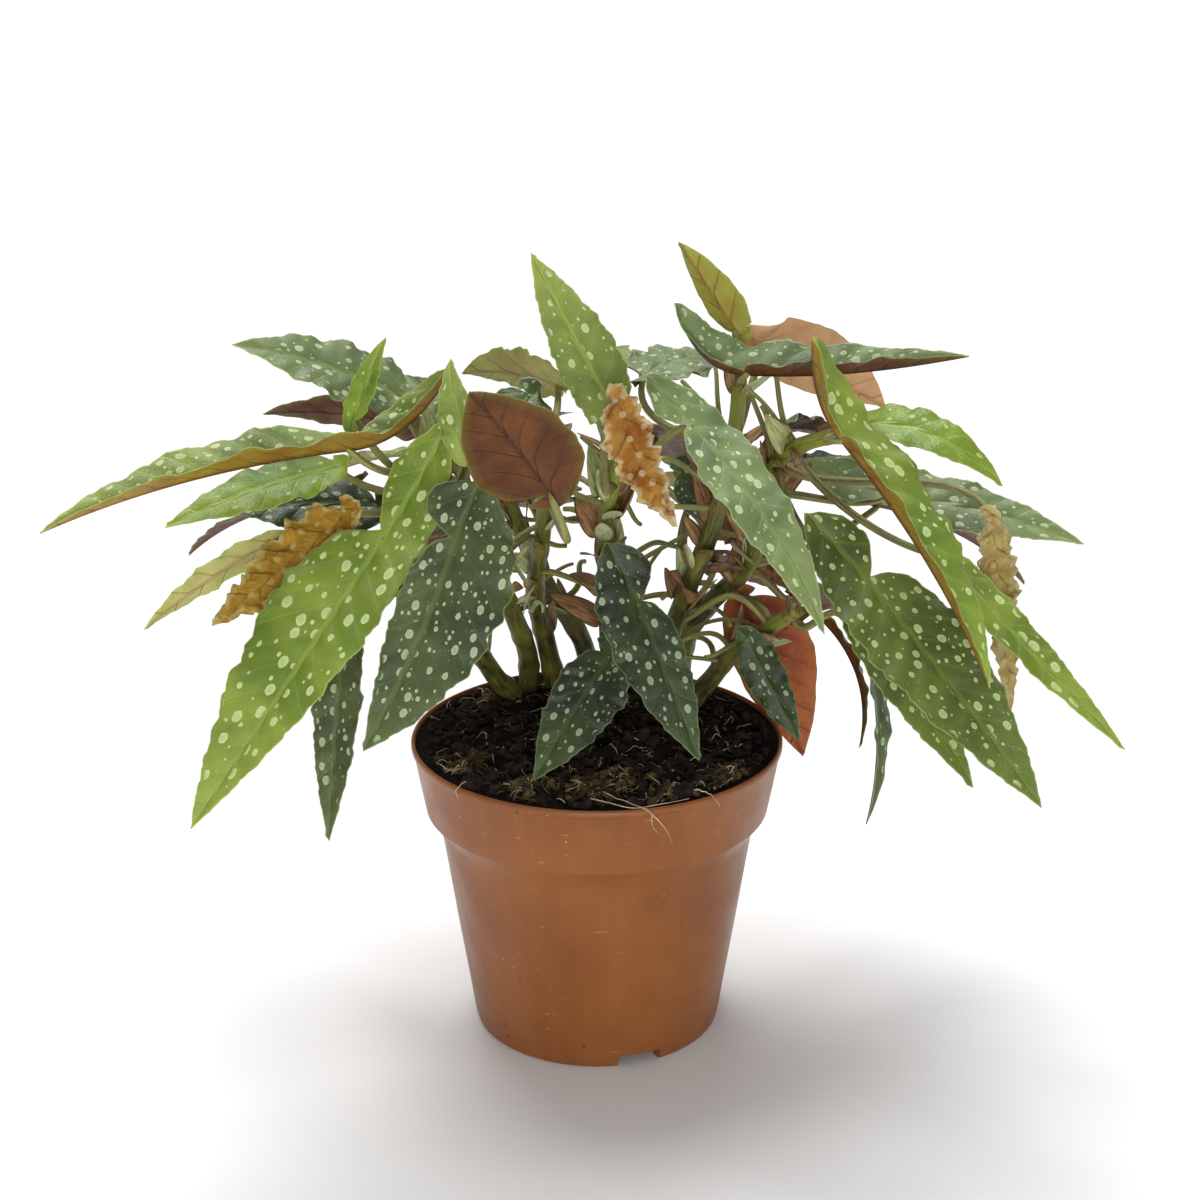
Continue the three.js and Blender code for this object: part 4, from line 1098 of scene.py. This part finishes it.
def build_crumbs(name, material, count, low, high, seed, mossy=False, lift=0.3):
    """Small irregular bits lying on the peat; mossy ones keep to the mossy spots."""
    rng = np.random.default_rng(seed)
    round_points, round_faces = ball()
    bits = Bits()
    for _ in range(count):
        if mossy:
            spot = MOSS_SPOTS[rng.integers(len(MOSS_SPOTS))]
            x, y = np.array(spot) + rng.normal(0, MOSS_SPREAD, 2)
        else:
            x, y = anywhere(rng, 55.5)
        if math.hypot(x, y) > 56:
            continue
        size = rng.uniform(low, high)
        stretch = rng.uniform(0.5, 1.3, 3)
        bumps = 1 + 0.28 * np.sin(round_points @ rng.normal(0, 3.2, 3) + rng.uniform(0, 6))
        bumps = bumps + 0.16 * np.sin(round_points @ rng.normal(0, 6.5, 3))
        turn = np.linalg.qr(rng.normal(size=(3, 3)))[0]
        shaped = (round_points * bumps[:, None] * stretch * size) @ turn
        bits.add(shaped + (x, y, float(peat_height(x, y)) + size * lift), round_faces)
    bits.piece(name, material)


def build_bars(name, material, bars, sides=4):
    """Thin round bars in one piece, each given by its path and its radii along it."""
    bits = Bits()
    grows, uvs = [], []
    for number, (path, radii) in enumerate(bars):
        rings = len(path)
        bits.add(tube(path, radii, sides), bar_faces(rings, sides))
        grow = np.repeat(np.linspace(0, 1, rings), sides)
        around = np.tile(np.arange(sides) / sides, rings)
        grows.append(grow)
        uvs.append(np.stack([around + 3.0 * number, grow * path_length(path) / 10], axis=1))
    obj = bits.piece(name, material)
    grow = np.concatenate(grows)
    set_points(obj, joint=np.exp(-((grow / 0.06) ** 2)), fresh=0.5 * grow)
    set_uv(obj, np.vstack(uvs))


def build_fibres(name, material, count, seed, long, thick):
    """Thin roots and fibres that lie about on the peat."""
    rng = np.random.default_rng(seed)
    steps = 9
    bars = []
    for _ in range(count):
        x, y = anywhere(rng, 55)
        heading = rng.uniform(0, 2 * math.pi)
        length = rng.uniform(0.35, 1.0) * long
        hump = rng.uniform(0.0, 1.6)
        path = []
        for k in range(steps):
            if math.hypot(x, y) > 56.5:
                heading = math.atan2(-y, -x)
            z = float(peat_height(x, y)) + 0.2 + hump * math.sin(math.pi * k / (steps - 1))
            path.append((x, y, z))
            heading += rng.normal(0, 0.42)
            x += math.cos(heading) * length / steps
            y += math.sin(heading) * length / steps
        bars.append((path, thick * np.linspace(1.0, 0.45, steps) * rng.uniform(0.6, 1.3)))
    build_bars(name, material, bars)


def build_tufts(name, material, count, seed, thick):
    """Short curved fibres heaped at the mossy spots."""
    rng = np.random.default_rng(seed)
    t = np.linspace(0, 1, 6)
    bars = []
    for _ in range(count):
        spot = MOSS_SPOTS[rng.integers(len(MOSS_SPOTS))]
        x, y = np.array(spot) + rng.normal(0, MOSS_SPREAD, 2)
        if math.hypot(x, y) > 55:
            continue
        near = math.exp(-((x - spot[0]) ** 2 + (y - spot[1]) ** 2) / 30)
        heading = rng.uniform(0, 2 * math.pi)
        length = rng.uniform(2.5, 8.5)
        bow = rng.normal(0, 0.35)
        px = x + np.cos(heading + bow * t * 3) * length * t
        py = y + np.sin(heading + bow * t * 3) * length * t
        inside = np.minimum(1, 55.5 / np.maximum(np.hypot(px, py), 1))
        px, py = px * inside, py * inside
        rise = rng.uniform(0.1, 2.6) * near
        pz = peat_height(px, py) + 0.2 + rise + rng.uniform(0.2, 1.4) * np.sin(math.pi * t) - rise * t * 0.8
        radii = thick * np.linspace(1, 0.4, 6) * rng.uniform(0.6, 1.2)
        bars.append((np.stack([px, py, pz], axis=1), radii))
    build_bars(name, material, bars)


def build_rootlets():
    """Fine roots that hang over the rim at the front."""
    rng = np.random.default_rng(33)
    steps = 40
    bars = []
    for points in ROOTLETS:
        path = even(spline(points), steps)
        for k, sway in enumerate(rng.normal(0, 1, (5, 3))):
            wave = np.sin(np.linspace(0, 4 + 7 * k, steps) + k)[:, None]
            path = path + 0.28 / (k + 1) * wave * sway * (1, 0.3, 1)
        bars.append((path, 0.2 * np.linspace(1, 0.4, steps)))
    build_bars("rootlets", ROOT, bars, 5)


# ---- twigs and bracts in the crown -------------------------------------------------------------
def build_twigs():
    """Bare stalks whose leaves have fallen, and thin side shoots, in the crown's middle."""
    rng = np.random.default_rng(51)
    names = list(CANES)
    t = np.linspace(0, 1, 14)[:, None]
    bars = []
    for _ in range(TWIG_COUNT):
        path = cane_path(names[rng.integers(len(names))])
        i = int(rng.uniform(0.25, 0.9) * (len(path) - 1))
        out = rng.normal(size=3) * (1, 0.8, 0.3)
        inward = -path[i] * (0.02, 0.02, 0) + (0, 0.1, 0.35)
        out = unit(unit(out) + inward)
        reach = rng.uniform(14, 36)
        droop = rng.uniform(-0.1, 0.5)
        line = path[i] + out * reach * t + np.array((0, 0, 1.0)) * reach * droop * (t - t**2) * 1.6
        line = line + rng.normal(0, 1, 3) * 1.4 * np.sin(t * 5)
        bars.append((line, rng.uniform(0.75, 1.15) * np.linspace(1.1, 0.75, 14)))
    build_bars("bare_stalks", STALK, bars, 8)


def bract_sheet(rng, path, at, u, v, lengths, widths):
    """A curled bract standing off the cane, as a grid of points, its half width and its length."""
    i = int(at * (len(path) - 1))
    axis = unit(path[i + 1] - path[i])
    out = rng.normal(size=3)
    out = unit(out - axis * (out @ axis))
    side = np.cross(axis, out)
    length = rng.uniform(*lengths)
    width = rng.uniform(*widths)
    lean = rng.uniform(0.25, 1.1)
    half = width * swell(0.08 + 0.9 * v, 0.5, 0.8)
    cup = (np.abs(u) ** 2 - 1) * half * rng.uniform(-0.7, 0.5)
    twist = rng.normal(0, 0.6) * v
    base = path[i] + out * (cane_radius(at) - 0.3)
    up = axis * (v * length * math.cos(lean))[:, :, None]
    off = out * (length * math.sin(lean) * v**1.4 + u * half * np.sin(twist) + cup)[:, :, None]
    across = side * (u * half * np.cos(twist))[:, :, None]
    return base + up + off + across, half, length


def build_bracts(name, colour, seed, share, canes, span, lengths, widths):
    """Papery bracts and withered leaflets left at the joints of the canes."""
    rng = np.random.default_rng(seed)
    v, u = np.meshgrid(np.linspace(0, 1, BRACT_ROWS), np.linspace(-1, 1, BRACT_COLUMNS), indexing="ij")
    faces = sum(sheet_faces(BRACT_ROWS, BRACT_COLUMNS), [])
    bits = Bits()
    uvs, rims = [], []
    for cane in canes:
        path = cane_path(cane)
        for at in np.arange(*span, 0.06):
            if rng.uniform() > share * (0.35 + 0.9 * at):
                continue
            sheet, half, length = bract_sheet(rng, path, at, u, v, lengths, widths)
            skin = np.cross(np.gradient(sheet, axis=0), np.gradient(sheet, axis=1))
            skin = BRACT_SKIN * skin / np.maximum(np.linalg.norm(skin, axis=2), 1e-9)[:, :, None]
            bits.add(np.vstack([(sheet + skin).reshape(-1, 3), (sheet - skin).reshape(-1, 3)]), faces)
            flat = np.stack([(u * half / 10).ravel() + at * 50, (v * length / 10).ravel()], axis=1)
            uvs += [flat, flat]
            rims += [((1 - np.abs(u)) * half).ravel()] * 2
    obj = bits.piece(name, BRACT[colour])
    set_points(obj, rim=np.concatenate(rims))
    set_uv(obj, np.vstack(uvs))


# ---- build the object --------------------------------------------------------------------------
build_pot()
build_peat()
for number, cane_name in enumerate(CANES):
    build_cane(cane_name, number)
for number, leaf_row in enumerate(LEAVES):
    build_leaf(leaf_row, FIRST_LEAF_SEED + number)
build_crumbs("peat_crumbs", CHIP, 760, 0.5, 1.9, 11)
build_crumbs("peat_clods", CHIP, 60, 1.8, 3.4, 14, lift=-0.1)
build_crumbs("moss_crumbs", MOSS, 220, 0.5, 1.9, 12, mossy=True)
build_crumbs("pale_crumbs", PALE_CHIP, 120, 0.25, 0.7, 13)
build_fibres("pale_roots", ROOT, 120, 21, 12.0, 0.17)
build_fibres("dark_roots", DARK_ROOT, 260, 22, 9.0, 0.22)
build_tufts("moss_tufts", MOSS, 560, 31, 0.34)
build_tufts("straw_tufts", ROOT, 150, 32, 0.18)
build_rootlets()
build_twigs()
build_bracts("stipules_pale", "pale", 41, 0.5, CANES, (0.4, 0.98), (7, 14), (1.8, 3.4))
build_bracts("stipules_large", "mint", 43, 0.3, CANES, (0.5, 0.98), (12, 19), (3.2, 5.2))
build_bracts("stipules_brown", "brown", 42, 0.7, CANES, (0.22, 0.98), (7, 15), (1.8, 3.4))
build_bracts("withered_dark", "dark", 60, 0.8, MIDDLE_CANES, (0.4, 0.8), (10, 20), (3.2, 6.0))
build_bracts("withered_tan", "tan", 61, 0.5, MIDDLE_CANES, (0.4, 0.85), (9, 19), (3.0, 5.5))


# ---- stage -------------------------------------------------------------------------------------
def build_floor():
    mesh = bpy.data.meshes.new("floor")
    corners = [(x * FLOOR_HALF, y * FLOOR_HALF, 0) for x, y in ((-1, -1), (1, -1), (1, 1), (-1, 1))]
    mesh.from_pydata(corners, [], [(0, 1, 2, 3)])
    mesh.materials.append(floor_material())
    obj = bpy.data.objects.new("floor", mesh)
    bpy.context.scene.collection.objects.link(obj)


def add_light(name, kind, watts, away):
    """A light that shines against the direction away, before it is placed."""
    data = bpy.data.lights.new(name, kind)
    data.energy = watts
    obj = bpy.data.objects.new(name, data)
    obj.rotation_euler = (-Vector(away)).to_track_quat("-Z", "Y").to_euler()
    bpy.context.scene.collection.objects.link(obj)
    return obj


def build_lights():
    sun = add_light("key", "SUN", KEY_STRENGTH, KEY_DIRECTION)
    sun.data.angle = math.radians(KEY_SPREAD)
    fill = add_light("fill", "AREA", FILL_WATTS, Vector(FILL_PLACE) - Vector(FILL_AIM))
    fill.data.shape = "DISK"
    fill.data.size = FILL_SIZE
    fill.location = FILL_PLACE
    world = bpy.data.worlds.new("studio")
    bpy.context.scene.world = world
    world.use_nodes = True
    background = world.node_tree.nodes["Background"]
    background.inputs["Color"].default_value = (1, 1, 1, 1)
    background.inputs["Strength"].default_value = WORLD_STRENGTH


def build_camera():
    data = bpy.data.cameras.new("camera")
    data.sensor_width = SENSOR_WIDTH
    data.lens = CAMERA_LENS
    data.clip_start = 0.05
    camera = bpy.data.objects.new("camera", data)
    camera.location = CAMERA_PLACE
    camera.rotation_euler = (math.radians(90 - CAMERA_TILT), 0, 0)
    bpy.context.scene.collection.objects.link(camera)
    bpy.context.scene.camera = camera


build_floor()
build_lights()
build_camera()
bpy.context.scene.view_settings.view_transform = "Standard"
